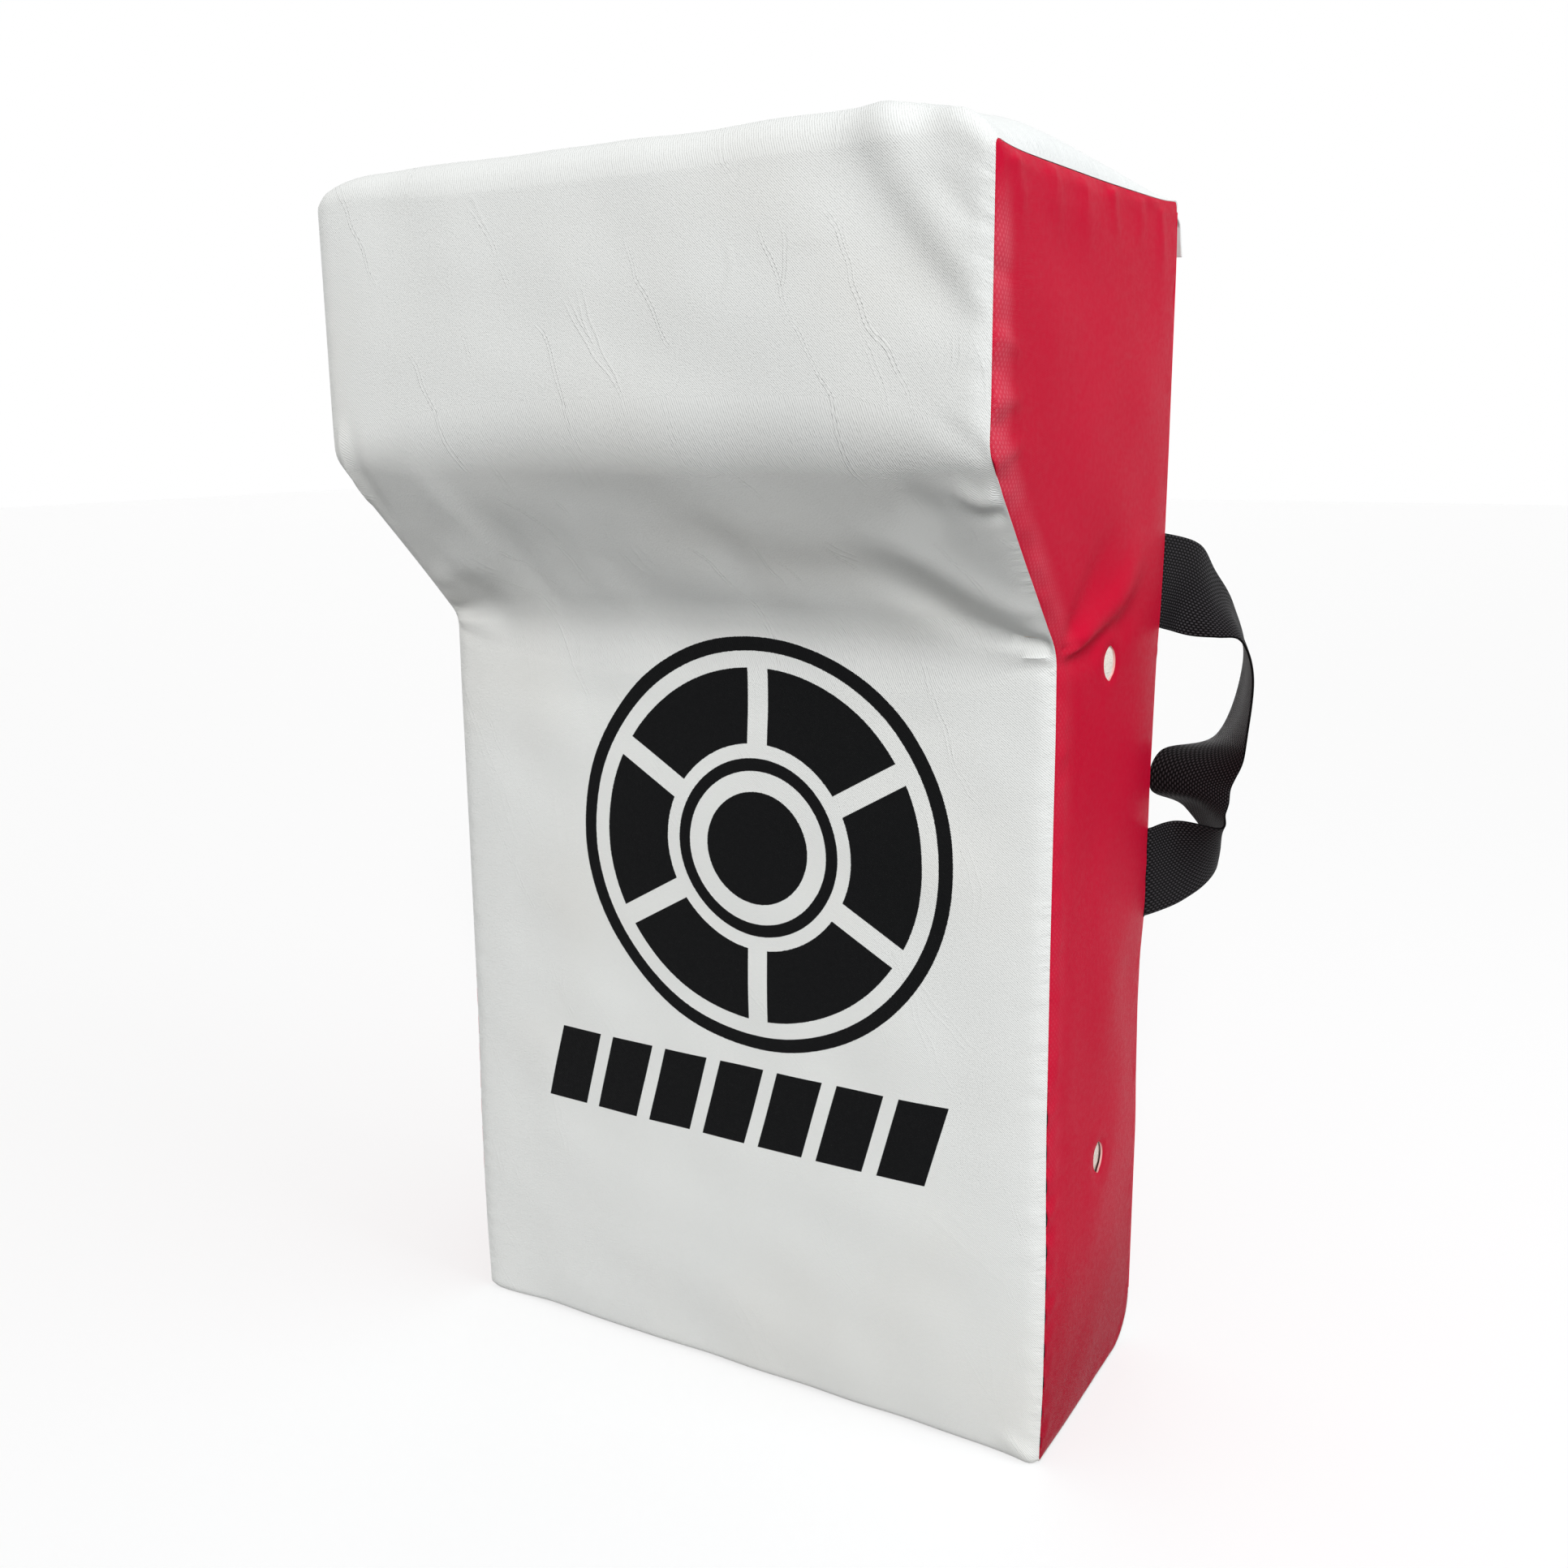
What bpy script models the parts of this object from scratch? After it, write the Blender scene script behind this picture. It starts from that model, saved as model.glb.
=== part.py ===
# Rugby hit shield: a padded wedge block in a sewn cover, with a webbing handle at each rear corner.
# The origin is the middle of the flat bottom, -Y is the strike face, +X is the red side that shows, +Z is up.
# Lengths are in metres and angles in degrees.

import math

import bmesh
import bpy
import numpy as np
from mathutils import Matrix, Vector

# Body block, measured along its seams
BODY_HEIGHT = 0.760
BODY_WIDTH = 0.435
LOWER_DEPTH = 0.173
HEAD_DEPTH = 0.275
SLOPE_START_HEIGHT = 0.504
SLOPE_END_HEIGHT = 0.617

# Rounding of the side outline
FRONT_FOOT_RADIUS = 0.014
CREASE_RADIUS = 0.020
HEAD_LOWER_RADIUS = 0.018
HEAD_UPPER_RADIUS = 0.007
REAR_TOP_RADIUS = 0.006
REAR_FOOT_RADIUS = 0.032

# Swell of the stuffed cover between its seams
LOWER_CROWN = 0.010
HEAD_CROWN = 0.008
TOP_CROWN = 0.020
TOP_SEAM_SAG = 0.003
CREASE_BRIDGE = 0.004
CREASE_REACH = 0.050
SIDE_CROWN = 0.007
REAR_CROWN = 0.005

# Cover sheet and its seams
SHEET_THICKNESS = 0.0012
SEAM_GAP = 0.0003
SEAM_LEAD = 0.002
VENT_DIAMETER = 0.019
UPPER_VENT_HEIGHT = 0.490
UPPER_VENT_OFFSET = -0.0147
LOWER_VENT_HEIGHT = 0.1705
LOWER_VENT_OFFSET = -0.0040

# Foam layers
FOAM_CLEARANCE = 0.0009
BACKER_THICKNESS = 0.050
WEDGE_TIP_THICKNESS = 0.004

# Closure flap with its hook and loop tapes
FLAP_LENGTH = 0.027
FLAP_THICKNESS = 0.0018
FLAP_END_MARGIN = 0.0015
FLAP_CLEARANCE = 0.0004
FLAP_REST_ANGLE = 27.0
TAPE_THICKNESS = 0.0008
TAPE_WIDTH = 0.014
TAPE_DROP = 0.011
TAPE_END_MARGIN = 0.020

# Webbing handles
WEBBING_WIDTH = 0.060
WEBBING_THICKNESS = 0.0015
UPPER_ANCHOR_HEIGHT = 0.530
LOWER_ANCHOR_HEIGHT = 0.337
HANDLE_REACH_OUT = 0.0435
HANDLE_REACH_BACK = 0.062
HANDLE_CORNER_OFFSET = 0.0008
TAIL_LENGTH = 0.045
BACKING_THICKNESS = 0.0010
BACKING_WIDTH = 0.055
BACKING_OVERRUN = 0.018

# Fineness of the faceting
LONGEST_SPAN = 0.045
LEAST_ROW_STEP = 0.004
FOAM_ROW_STEP = 0.010
ARC_STEP_ANGLE = 30.0
VENT_SIDES = 16
STRAP_STEPS_PER_STATION = 4
ACROSS_SHARES = (
    0.0, 0.014, 0.034, 0.064, 0.11, 0.20, 0.30, 0.40, 0.50, 0.60, 0.70, 0.80, 0.89, 0.936, 0.966, 0.986, 1.0,
)
SIDE_COLUMN_SHARES = (0.0, 0.06, 0.13, 0.22, 0.35, 0.50, 0.65, 0.78, 0.87, 0.94, 1.0)
LAYER_COLUMN_SHARES = (0.0, 0.33, 0.67, 1.0)
THIN_SHARES = (0.0, 1.0)
WEBBING_COLUMN_SHARES = (-1.0, -0.333, 0.333, 1.0)

# The handle's route from the upper anchor to the lower one, as shares of its reach out, its reach
# back and half its anchor spacing, with the way its width points at each place
STRAP_STATION_SHARES = (
    ((0.00, 0.00, 1.00), (0.00, 0.00, 1.00)),
    ((0.20, 0.46, 0.93), (0.09, 0.27, 0.96)),
    ((0.53, 0.75, 0.81), (-0.26, 0.70, 0.66)),
    ((0.80, 0.93, 0.67), (-0.35, 0.89, 0.30)),
    ((0.99, 0.99, 0.35), (-0.35, 0.94, 0.05)),
    ((0.84, 0.88, -0.11), (-0.55, 0.82, -0.17)),
    ((0.39, 0.72, -0.32), (-0.95, 0.28, 0.16)),
    ((0.31, 0.68, -0.50), (-0.97, 0.23, -0.07)),
    ((0.55, 0.73, -0.63), (-0.66, 0.74, -0.15)),
    ((0.80, 0.69, -0.87), (-0.22, 0.78, -0.59)),
    ((0.30, 0.38, -0.96), (0.08, 0.25, -0.96)),
    ((0.00, 0.00, -1.00), (0.00, 0.00, -1.00)),
)

# Places worked out from the sizes above
HALF_WIDTH = BODY_WIDTH / 2
REAR_Y = LOWER_DEPTH / 2
LOWER_FRONT_Y = -LOWER_DEPTH / 2
HEAD_FRONT_Y = REAR_Y - HEAD_DEPTH
FLAP_SEAM_HEIGHT = BODY_HEIGHT - REAR_TOP_RADIUS - SEAM_LEAD
PANEL_INSET = SHEET_THICKNESS + SEAM_GAP
FOAM_INSET = SHEET_THICKNESS + FOAM_CLEARANCE
TAIL_REAR_Y = REAR_Y - PANEL_INSET
BACKING_REAR_Y = TAIL_REAR_Y - WEBBING_THICKNESS - SEAM_GAP
FOAM_REAR_Y = BACKING_REAR_Y - BACKING_THICKNESS - FOAM_CLEARANCE
BACKER_FRONT_Y = FOAM_REAR_Y - BACKER_THICKNESS
HANDLE_AXIS_X = HALF_WIDTH + HANDLE_CORNER_OFFSET
HANDLE_AXIS_Y = REAR_Y + HANDLE_CORNER_OFFSET
HANDLE_MIDDLE_HEIGHT = (UPPER_ANCHOR_HEIGHT + LOWER_ANCHOR_HEIGHT) / 2
HANDLE_HALF_SPACING = (UPPER_ANCHOR_HEIGHT - LOWER_ANCHOR_HEIGHT) / 2
FLAP_AXIS_Y = REAR_Y + FLAP_THICKNESS / 2 + FLAP_CLEARANCE

# The side outline's corners in order, each as depth, height and rounding
OUTLINE_CORNERS = (
    ("front_foot", LOWER_FRONT_Y, 0.0, FRONT_FOOT_RADIUS),
    ("crease", LOWER_FRONT_Y, SLOPE_START_HEIGHT, CREASE_RADIUS),
    ("head_lower", HEAD_FRONT_Y, SLOPE_END_HEIGHT, HEAD_LOWER_RADIUS),
    ("head_upper", HEAD_FRONT_Y, BODY_HEIGHT, HEAD_UPPER_RADIUS),
    ("rear_top", REAR_Y, BODY_HEIGHT, REAR_TOP_RADIUS),
    ("rear_foot", REAR_Y, 0.0, REAR_FOOT_RADIUS),
)


def clear_scene():
    """Removes whatever the scene holds."""
    for item in list(bpy.data.objects):
        bpy.data.objects.remove(item, do_unlink=True)


def surface_material(name, colour, roughness, metallic=0.0):
    """Gives a plain material of one colour."""
    material = bpy.data.materials.new(name)
    material.use_nodes = True
    shader = material.node_tree.nodes["Principled BSDF"]
    shader.inputs["Base Color"].default_value = (*colour, 1.0)
    shader.inputs["Roughness"].default_value = roughness
    shader.inputs["Metallic"].default_value = metallic
    return material


def link_object(name, mesh_source, material):
    """Turns a bmesh into a named, smooth-shaded object."""
    bmesh.ops.recalc_face_normals(mesh_source, faces=mesh_source.faces[:])
    mesh = bpy.data.meshes.new(name)
    mesh_source.to_mesh(mesh)
    mesh_source.free()
    mesh.shade_smooth()
    mesh.set_sharp_from_angle(angle=math.radians(35))
    mesh.materials.append(material)
    item = bpy.data.objects.new(name, mesh)
    bpy.context.scene.collection.objects.link(item)
    return item


# Side outline

def rounded_corner(before, corner, after, radius):
    """Gives the points of the arc that rounds one corner of the outline."""
    corner = np.array(corner)
    to_before = np.array(before) - corner
    to_after = np.array(after) - corner
    to_before = to_before / np.linalg.norm(to_before)
    to_after = to_after / np.linalg.norm(to_after)
    half_angle = math.acos(float(np.clip(to_before @ to_after, -1.0, 1.0))) / 2
    bisector = to_before + to_after
    centre = corner + bisector / np.linalg.norm(bisector) * radius / math.sin(half_angle)
    start = corner + to_before * radius / math.tan(half_angle) - centre
    turn = to_before[1] * to_after[0] - to_before[0] * to_after[1]
    sweep = math.copysign(math.pi - 2 * half_angle, turn)
    steps = max(2, math.ceil(abs(math.degrees(sweep)) / ARC_STEP_ANGLE))
    points = []
    for step in range(steps + 1):
        angle = sweep * step / steps
        turned = (
            start[0] * math.cos(angle) - start[1] * math.sin(angle),
            start[0] * math.sin(angle) + start[1] * math.cos(angle),
        )
        points.append(centre + np.array(turned))
    return points


def spaced_run(start, end):
    """Gives the evenly spaced points strictly between two ends of a straight run."""
    spans = max(1, math.ceil(float(np.linalg.norm(end - start)) / LONGEST_SPAN))
    return [start + (end - start) * step / spans for step in range(1, spans)]


def body_outline():
    """Gives the closed side outline and where each corner's arc starts and ends in it."""
    points = []
    marks = {}
    count = len(OUTLINE_CORNERS)
    for index, (name, depth, height, radius) in enumerate(OUTLINE_CORNERS):
        before = OUTLINE_CORNERS[index - 1][1:3]
        after = OUTLINE_CORNERS[(index + 1) % count][1:3]
        arc = rounded_corner(before, (depth, height), after, radius)
        if points:
            points += spaced_run(points[-1], arc[0])
        marks[name] = (len(points), len(points) + len(arc) - 1)
        points += arc
    points += spaced_run(points[-1], points[0])
    return np.array(points), marks


def inset_outline(points, distance):
    """Draws a closed outline in by a distance, square to each of its runs."""
    after = np.roll(points, -1, axis=0) - points
    after = after / np.linalg.norm(after, axis=1)[:, None]
    before = np.roll(after, 1, axis=0)
    normal_after = np.stack([after[:, 1], -after[:, 0]], axis=1)
    normal_before = np.stack([before[:, 1], -before[:, 0]], axis=1)
    mitre = normal_after + normal_before
    scale = 2.0 / (mitre ** 2).sum(axis=1)
    return points + mitre * (distance * scale)[:, None]


OUTLINE, OUTLINE_MARKS = body_outline()


def front_profile(distance):
    """Gives heights and depths up the front, from the foot to the top, drawn in by a distance."""
    inset = inset_outline(OUTLINE, distance)
    first = OUTLINE_MARKS["front_foot"][0]
    last = OUTLINE_MARKS["head_upper"][1]
    return inset[first:last + 1, 1], inset[first:last + 1, 0]


def rear_profile(distance):
    """Gives heights and depths up the rear, from the foot to the top, drawn in by a distance."""
    inset = inset_outline(OUTLINE, distance)
    first = OUTLINE_MARKS["rear_top"][0]
    last = OUTLINE_MARKS["rear_foot"][1]
    return inset[first:last + 1, 1][::-1], inset[first:last + 1, 0][::-1]


def row_heights(low, high, least_step, *profiles):
    """Gives the heights at which a piece is sliced, so that it follows the outline's points."""
    heights = [low]
    candidates = sorted(float(height) for profile in profiles for height in profile[0])
    for height in candidates:
        if height > heights[-1] + least_step and height < high - least_step:
            heights.append(height)
    heights.append(high)
    return heights


# Swell of the stuffed cover

OUTER_FRONT = front_profile(0.0)


def bump(share, power):
    """Is one in the middle of a run from -1 to 1 and falls to zero at its ends."""
    return 1.0 - min(1.0, abs(share)) ** power


def swell(point):
    """Moves a point of the flat-sided block to its place in the stuffed one."""
    across, depth, height = point
    width_bump = bump(across / HALF_WIDTH, 4)
    top_width_bump = bump(across / HALF_WIDTH, 9)
    front_depth = float(np.interp(height, *OUTER_FRONT))
    depth_here = REAR_Y - front_depth
    front_share = (REAR_Y - depth) / depth_here

    side = SIDE_CROWN * bump(2 * front_share - 1, 2) * bump(2 * height / BODY_HEIGHT - 1, 4)
    if height < SLOPE_START_HEIGHT:
        front = LOWER_CROWN * bump(2 * height / SLOPE_START_HEIGHT - 1, 4)
    else:
        head_share = (height - SLOPE_START_HEIGHT) / (BODY_HEIGHT - SLOPE_START_HEIGHT)
        front = HEAD_CROWN * bump(2 * head_share - 1, 2)
    front += CREASE_BRIDGE * bump((height - SLOPE_START_HEIGHT) / CREASE_REACH, 2) ** 2
    rear = REAR_CROWN * bump(2 * height / FLAP_SEAM_HEIGHT - 1, 4)

    head_rise = max(0.0, height - SLOPE_START_HEIGHT) / (BODY_HEIGHT - SLOPE_START_HEIGHT)
    top_share = (REAR_Y - depth) / HEAD_DEPTH
    top = TOP_CROWN * bump(1 - top_share, 3) * top_width_bump
    sag = TOP_SEAM_SAG * bump(2 * top_share - 1, 3) * (1 - top_width_bump)

    return Vector((
        across * (1 + side / HALF_WIDTH),
        depth - front * width_bump * front_share + rear * width_bump * (1 - front_share),
        height + (top - sag) * head_rise ** 2,
    ))


def swell_mesh(mesh_source):
    """Swells every corner of a piece."""
    for vertex in mesh_source.verts:
        vertex.co = swell(vertex.co)


# Builders of shapes

def sliced_block(x_shares, y_shares, z_shares):
    """Makes a unit block whose faces are sliced at the given shares of its three sides."""
    block = bmesh.new()
    bmesh.ops.create_cube(block, size=1.0, matrix=Matrix.Translation((0.5, 0.5, 0.5)))
    for axis, shares in enumerate((x_shares, y_shares, z_shares)):
        normal = Vector((0.0, 0.0, 0.0))
        normal[axis] = 1.0
        for share in shares[1:-1]:
            everything = block.verts[:] + block.edges[:] + block.faces[:]
            bmesh.ops.bisect_plane(block, geom=everything, plane_co=normal * share, plane_no=normal)
    return block


def upright_block(x_low, x_high, heights, front_depth, rear_depth, x_shares, y_shares):
    """Makes a block whose front and rear follow a depth at each of its heights."""
    low, high = heights[0], heights[-1]
    z_shares = [(height - low) / (high - low) for height in heights]
    block = sliced_block(x_shares, y_shares, z_shares)
    for vertex in block.verts:
        height = low + (high - low) * vertex.co.z
        front = front_depth(height)
        rear = rear_depth(height)
        vertex.co = (
            x_low + (x_high - x_low) * vertex.co.x,
            front + (rear - front) * vertex.co.y,
            height,
        )
    return block


def level_depth(depth):
    """Gives the same depth at every height."""
    return lambda height: depth


def profile_depth(profile):
    """Gives the depth of a profile at a height."""
    return lambda height: float(np.interp(height, *profile))


def even_heights(low, high):
    """Gives evenly spaced heights no further apart than the longest span."""
    spans = max(1, math.ceil((high - low) / LONGEST_SPAN))
    return [low + (high - low) * step / spans for step in range(spans + 1)]


def strip_sheet(outer, inner):
    """Makes a closed strip of cover sheet between an outer and an inner run of the side outline."""
    sheet = bmesh.new()
    section = list(outer) + list(inner[::-1])
    count = len(section)
    loops = []
    for share in ACROSS_SHARES:
        station = -HALF_WIDTH + BODY_WIDTH * share
        loops.append([sheet.verts.new((station, depth, height)) for depth, height in section])
    for loop, next_loop in zip(loops, loops[1:]):
        for index in range(count):
            sheet.faces.new((loop[index - 1], loop[index], next_loop[index], next_loop[index - 1]))
    for loop in (loops[0], loops[-1]):
        for index in range(len(outer) - 1):
            opposite = count - 1 - index
            sheet.faces.new((loop[index], loop[index + 1], loop[opposite - 1], loop[opposite]))
    return sheet


def flat_block(low_corner, high_corner, x_shares=THIN_SHARES, z_shares=THIN_SHARES):
    """Makes a block between two corners, sliced across and up where shares are given."""
    low = Vector(low_corner)
    size = Vector(high_corner) - low
    block = sliced_block(x_shares, THIN_SHARES, z_shares)
    for vertex in block.verts:
        vertex.co = low + size * vertex.co
    return block


def cutting_guide(name, mesh_source):
    """Makes a cutter that only shapes other pieces."""
    guide = link_object(name, mesh_source, surface_material(name, (0.5, 0.5, 0.5), 0.5))
    guide.hide_render = True
    guide.display_type = "WIRE"
    return guide


def cut(item, guide):
    """Cuts a guide's shape out of a piece."""
    modifier = item.modifiers.new(guide.name, "BOOLEAN")
    modifier.operation = "DIFFERENCE"
    modifier.solver = "EXACT"
    modifier.object = guide


# Cover

def outline_run(distance, first, last):
    """Gives a stretch of the side outline, drawn in by a distance."""
    return [tuple(point) for point in inset_outline(OUTLINE, distance)[first:last + 1]]


def build_front_panel(material):
    """One strip of sheet up the front, round the head and over the top to the flap's seam."""
    first = OUTLINE_MARKS["front_foot"][0]
    last = OUTLINE_MARKS["rear_top"][1]
    start_depth = LOWER_FRONT_Y + FRONT_FOOT_RADIUS + SEAM_LEAD
    runs = []
    for distance in (0.0, SHEET_THICKNESS):
        start = (start_depth, distance)
        end = (REAR_Y - distance, FLAP_SEAM_HEIGHT)
        runs.append([start] + outline_run(distance, first, last) + [end])
    panel = strip_sheet(*runs)
    swell_mesh(panel)
    return link_object("front_panel", panel, material)


def build_bottom_panel(material):
    """The flat bottom, which turns up round the rear foot to the back panel's seam."""
    first = OUTLINE_MARKS["rear_foot"][0]
    end_depth = LOWER_FRONT_Y + FRONT_FOOT_RADIUS + SEAM_LEAD + SEAM_GAP
    runs = []
    for distance in (0.0, SHEET_THICKNESS):
        start = (REAR_Y - distance, REAR_FOOT_RADIUS + SEAM_LEAD)
        bottom = [point for point in outline_run(distance, first, len(OUTLINE)) if point[0] > end_depth]
        runs.append([start] + bottom + [(end_depth, distance)])
    panel = strip_sheet(*runs)
    swell_mesh(panel)
    return link_object("bottom_panel", panel, material)


def build_back_panel(material):
    """The upright sheet between the bottom's seam and the flap's seam."""
    low = REAR_FOOT_RADIUS + SEAM_LEAD + SEAM_GAP
    heights = even_heights(low, FLAP_SEAM_HEIGHT - SEAM_GAP)
    panel = upright_block(
        -HALF_WIDTH, HALF_WIDTH, heights,
        level_depth(REAR_Y - SHEET_THICKNESS), level_depth(REAR_Y),
        ACROSS_SHARES, THIN_SHARES,
    )
    swell_mesh(panel)
    return link_object("back_panel", panel, material)


def build_vent_guide(name, side, depth, height):
    """A round punch through a side panel."""
    punch = bmesh.new()
    reach = SIDE_CROWN + PANEL_INSET
    placing = Matrix.Translation((side * HALF_WIDTH, depth, height)) @ Matrix.Rotation(math.pi / 2, 4, "Y")
    bmesh.ops.create_cone(
        punch, cap_ends=True, segments=VENT_SIDES, radius1=VENT_DIAMETER / 2,
        radius2=VENT_DIAMETER / 2, depth=2 * reach + 2 * SHEET_THICKNESS, matrix=placing,
    )
    return cutting_guide(name, punch)


def build_tail_guide(name, side, anchor_height):
    """The slit in a side panel's rear edge that a webbing tail comes out through."""
    half_slit = WEBBING_WIDTH / 2 + SEAM_GAP
    slit = flat_block(
        (side * HALF_WIDTH - PANEL_INSET * 2, TAIL_REAR_Y - WEBBING_THICKNESS - SEAM_GAP, anchor_height - half_slit),
        (side * HALF_WIDTH + PANEL_INSET * 2, REAR_Y, anchor_height + half_slit),
    )
    return cutting_guide(name, slit)


def build_side_panel(name, side, material):
    """A side of the wedge block, with two vent holes and a slit for each end of the handle."""
    front = front_profile(PANEL_INSET)
    rear = rear_profile(PANEL_INSET)
    heights = row_heights(PANEL_INSET, BODY_HEIGHT - PANEL_INSET, LEAST_ROW_STEP, front, rear)
    outer_x = side * HALF_WIDTH
    inner_x = side * (HALF_WIDTH - SHEET_THICKNESS)
    panel = upright_block(
        min(outer_x, inner_x), max(outer_x, inner_x), heights,
        profile_depth(front), profile_depth(rear), THIN_SHARES, SIDE_COLUMN_SHARES,
    )
    swell_mesh(panel)
    item = link_object(name, panel, material)
    vents = (("upper", UPPER_VENT_OFFSET, UPPER_VENT_HEIGHT), ("lower", LOWER_VENT_OFFSET, LOWER_VENT_HEIGHT))
    for place, depth, height in vents:
        cut(item, build_vent_guide(f"{name}_{place}_vent_guide", side, depth, height))
    for place, anchor_height in (("upper", UPPER_ANCHOR_HEIGHT), ("lower", LOWER_ANCHOR_HEIGHT)):
        cut(item, build_tail_guide(f"{name}_{place}_tail_guide", side, anchor_height))
    return item


# Foam

def foam_block(name, material, heights, front_depth, rear_depth):
    """Makes one foam layer across the inside of the cover."""
    half = HALF_WIDTH - FOAM_INSET
    layer = upright_block(-half, half, heights, front_depth, rear_depth, ACROSS_SHARES, LAYER_COLUMN_SHARES)
    swell_mesh(layer)
    return link_object(name, layer, material)


def build_foam(backer_material, soft_material):
    """A firm backer, a soft core in front of it and a wedge on the front of the head."""
    front = front_profile(FOAM_INSET)
    rear = rear_profile(FOAM_INSET)
    core_face = LOWER_FRONT_Y + FOAM_INSET
    low = FOAM_INSET
    high = BODY_HEIGHT - FOAM_INSET

    def core_front(height):
        return max(core_face, float(np.interp(height, *front)))

    def backer_rear(height):
        return min(FOAM_REAR_Y, float(np.interp(height, *rear)))

    heights = row_heights(low, high, FOAM_ROW_STEP, front, rear)
    foam_block("foam_backer", backer_material, heights, level_depth(BACKER_FRONT_Y), backer_rear)
    foam_block("foam_core", soft_material, heights, core_front, level_depth(BACKER_FRONT_Y - SEAM_GAP))

    wedge_rear = core_face - SEAM_GAP
    tip_depth = wedge_rear - WEDGE_TIP_THICKNESS
    slope_heights, slope_depths = front
    above_crease = slope_heights > SLOPE_START_HEIGHT
    falling = slope_depths[above_crease][::-1]
    tip_height = float(np.interp(tip_depth, falling, slope_heights[above_crease][::-1]))
    wedge_heights = row_heights(tip_height, high, LEAST_ROW_STEP, front)
    foam_block("foam_head_wedge", soft_material, wedge_heights, profile_depth(front), level_depth(wedge_rear))


# Closure flap

def build_flap(sheet_material, hook_material, loop_material):
    """The end of the top that hangs over the back panel, with the tapes that hold it shut."""
    hinge = bpy.data.objects.new("flap_hinge", None)
    hinge.location = (0.0, FLAP_AXIS_Y, FLAP_SEAM_HEIGHT)
    hinge.rotation_euler = (math.radians(FLAP_REST_ANGLE), 0.0, 0.0)
    bpy.context.scene.collection.objects.link(hinge)

    half = HALF_WIDTH - FLAP_END_MARGIN
    flap = flat_block(
        (-half, -FLAP_THICKNESS / 2, -FLAP_LENGTH), (half, FLAP_THICKNESS / 2, 0.0),
        ACROSS_SHARES, (0.0, 0.5, 1.0),
    )
    flap_item = link_object("closure_flap", flap, sheet_material)
    flap_item.parent = hinge

    tape_half = half - TAPE_END_MARGIN
    hook_rear = -FLAP_THICKNESS / 2 - SEAM_GAP
    hook = flat_block(
        (-tape_half, hook_rear - TAPE_THICKNESS, -TAPE_DROP - TAPE_WIDTH), (tape_half, hook_rear, -TAPE_DROP),
    )
    hook_item = link_object("hook_tape", hook, hook_material)
    hook_item.parent = hinge

    loop_front = REAR_Y + SEAM_GAP
    loop_top = FLAP_SEAM_HEIGHT - TAPE_DROP
    loop = flat_block(
        (-tape_half, loop_front, loop_top - TAPE_WIDTH), (tape_half, loop_front + TAPE_THICKNESS, loop_top),
        ACROSS_SHARES,
    )
    swell_mesh(loop)
    link_object("loop_tape", loop, loop_material)


# Handles

def curve_through(values, steps):
    """Runs a smooth curve through the given values, with some steps between each pair."""
    values = [Vector(value) for value in values]
    padded = [values[0] * 2 - values[1]] + values + [values[-1] * 2 - values[-2]]
    curve = []
    for index in range(1, len(padded) - 2):
        before, start, end, after = padded[index - 1:index + 3]
        for step in range(steps):
            share = step / steps
            curve.append(0.5 * (
                2 * start + (end - before) * share
                + (2 * before - 5 * start + 4 * end - after) * share ** 2
                + (3 * start - before - 3 * end + after) * share ** 3
            ))
    curve.append(values[-1])
    return curve


def build_handle(name, side, material):
    """A strip of webbing from the upper anchor out, down and twisting back to the lower anchor."""
    reach = Vector((HANDLE_REACH_OUT, HANDLE_REACH_BACK, HANDLE_HALF_SPACING))
    route = curve_through([reach * Vector(place) for place, width in STRAP_STATION_SHARES], STRAP_STEPS_PER_STATION)
    widths = curve_through([width for place, width in STRAP_STATION_SHARES], STRAP_STEPS_PER_STATION)
    strap = bmesh.new()
    loops = []
    for index, centre in enumerate(route):
        along = route[min(index + 1, len(route) - 1)] - route[max(index - 1, 0)]
        width = widths[index].normalized()
        through = along.cross(width).normalized()
        section = [(share, 0.5) for share in WEBBING_COLUMN_SHARES]
        section += [(share, -0.5) for share in reversed(WEBBING_COLUMN_SHARES)]
        loop = []
        for width_share, through_share in section:
            place = centre + width * (WEBBING_WIDTH / 2 * width_share) + through * (WEBBING_THICKNESS * through_share)
            loop.append(strap.verts.new((side * place.x, place.y, place.z)))
        loops.append(loop)
    for loop, next_loop in zip(loops, loops[1:]):
        for index in range(len(loop)):
            strap.faces.new((loop[index - 1], loop[index], next_loop[index], next_loop[index - 1]))
    strap.faces.new(loops[0])
    strap.faces.new(loops[-1])
    item = link_object(name, strap, material)
    item.location = (side * HANDLE_AXIS_X, HANDLE_AXIS_Y, HANDLE_MIDDLE_HEIGHT)
    return item


def build_handle_tail(name, side, anchor_height, material):
    """The end of the webbing that is sewn inside the cover, flush with the side at the seam."""
    outer_x = side * HALF_WIDTH
    inner_x = side * (HALF_WIDTH - TAIL_LENGTH)
    tail = flat_block(
        (min(outer_x, inner_x), TAIL_REAR_Y - WEBBING_THICKNESS, anchor_height - WEBBING_WIDTH / 2),
        (max(outer_x, inner_x), TAIL_REAR_Y, anchor_height + WEBBING_WIDTH / 2),
    )
    swell_mesh(tail)
    return link_object(name, tail, material)


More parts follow.
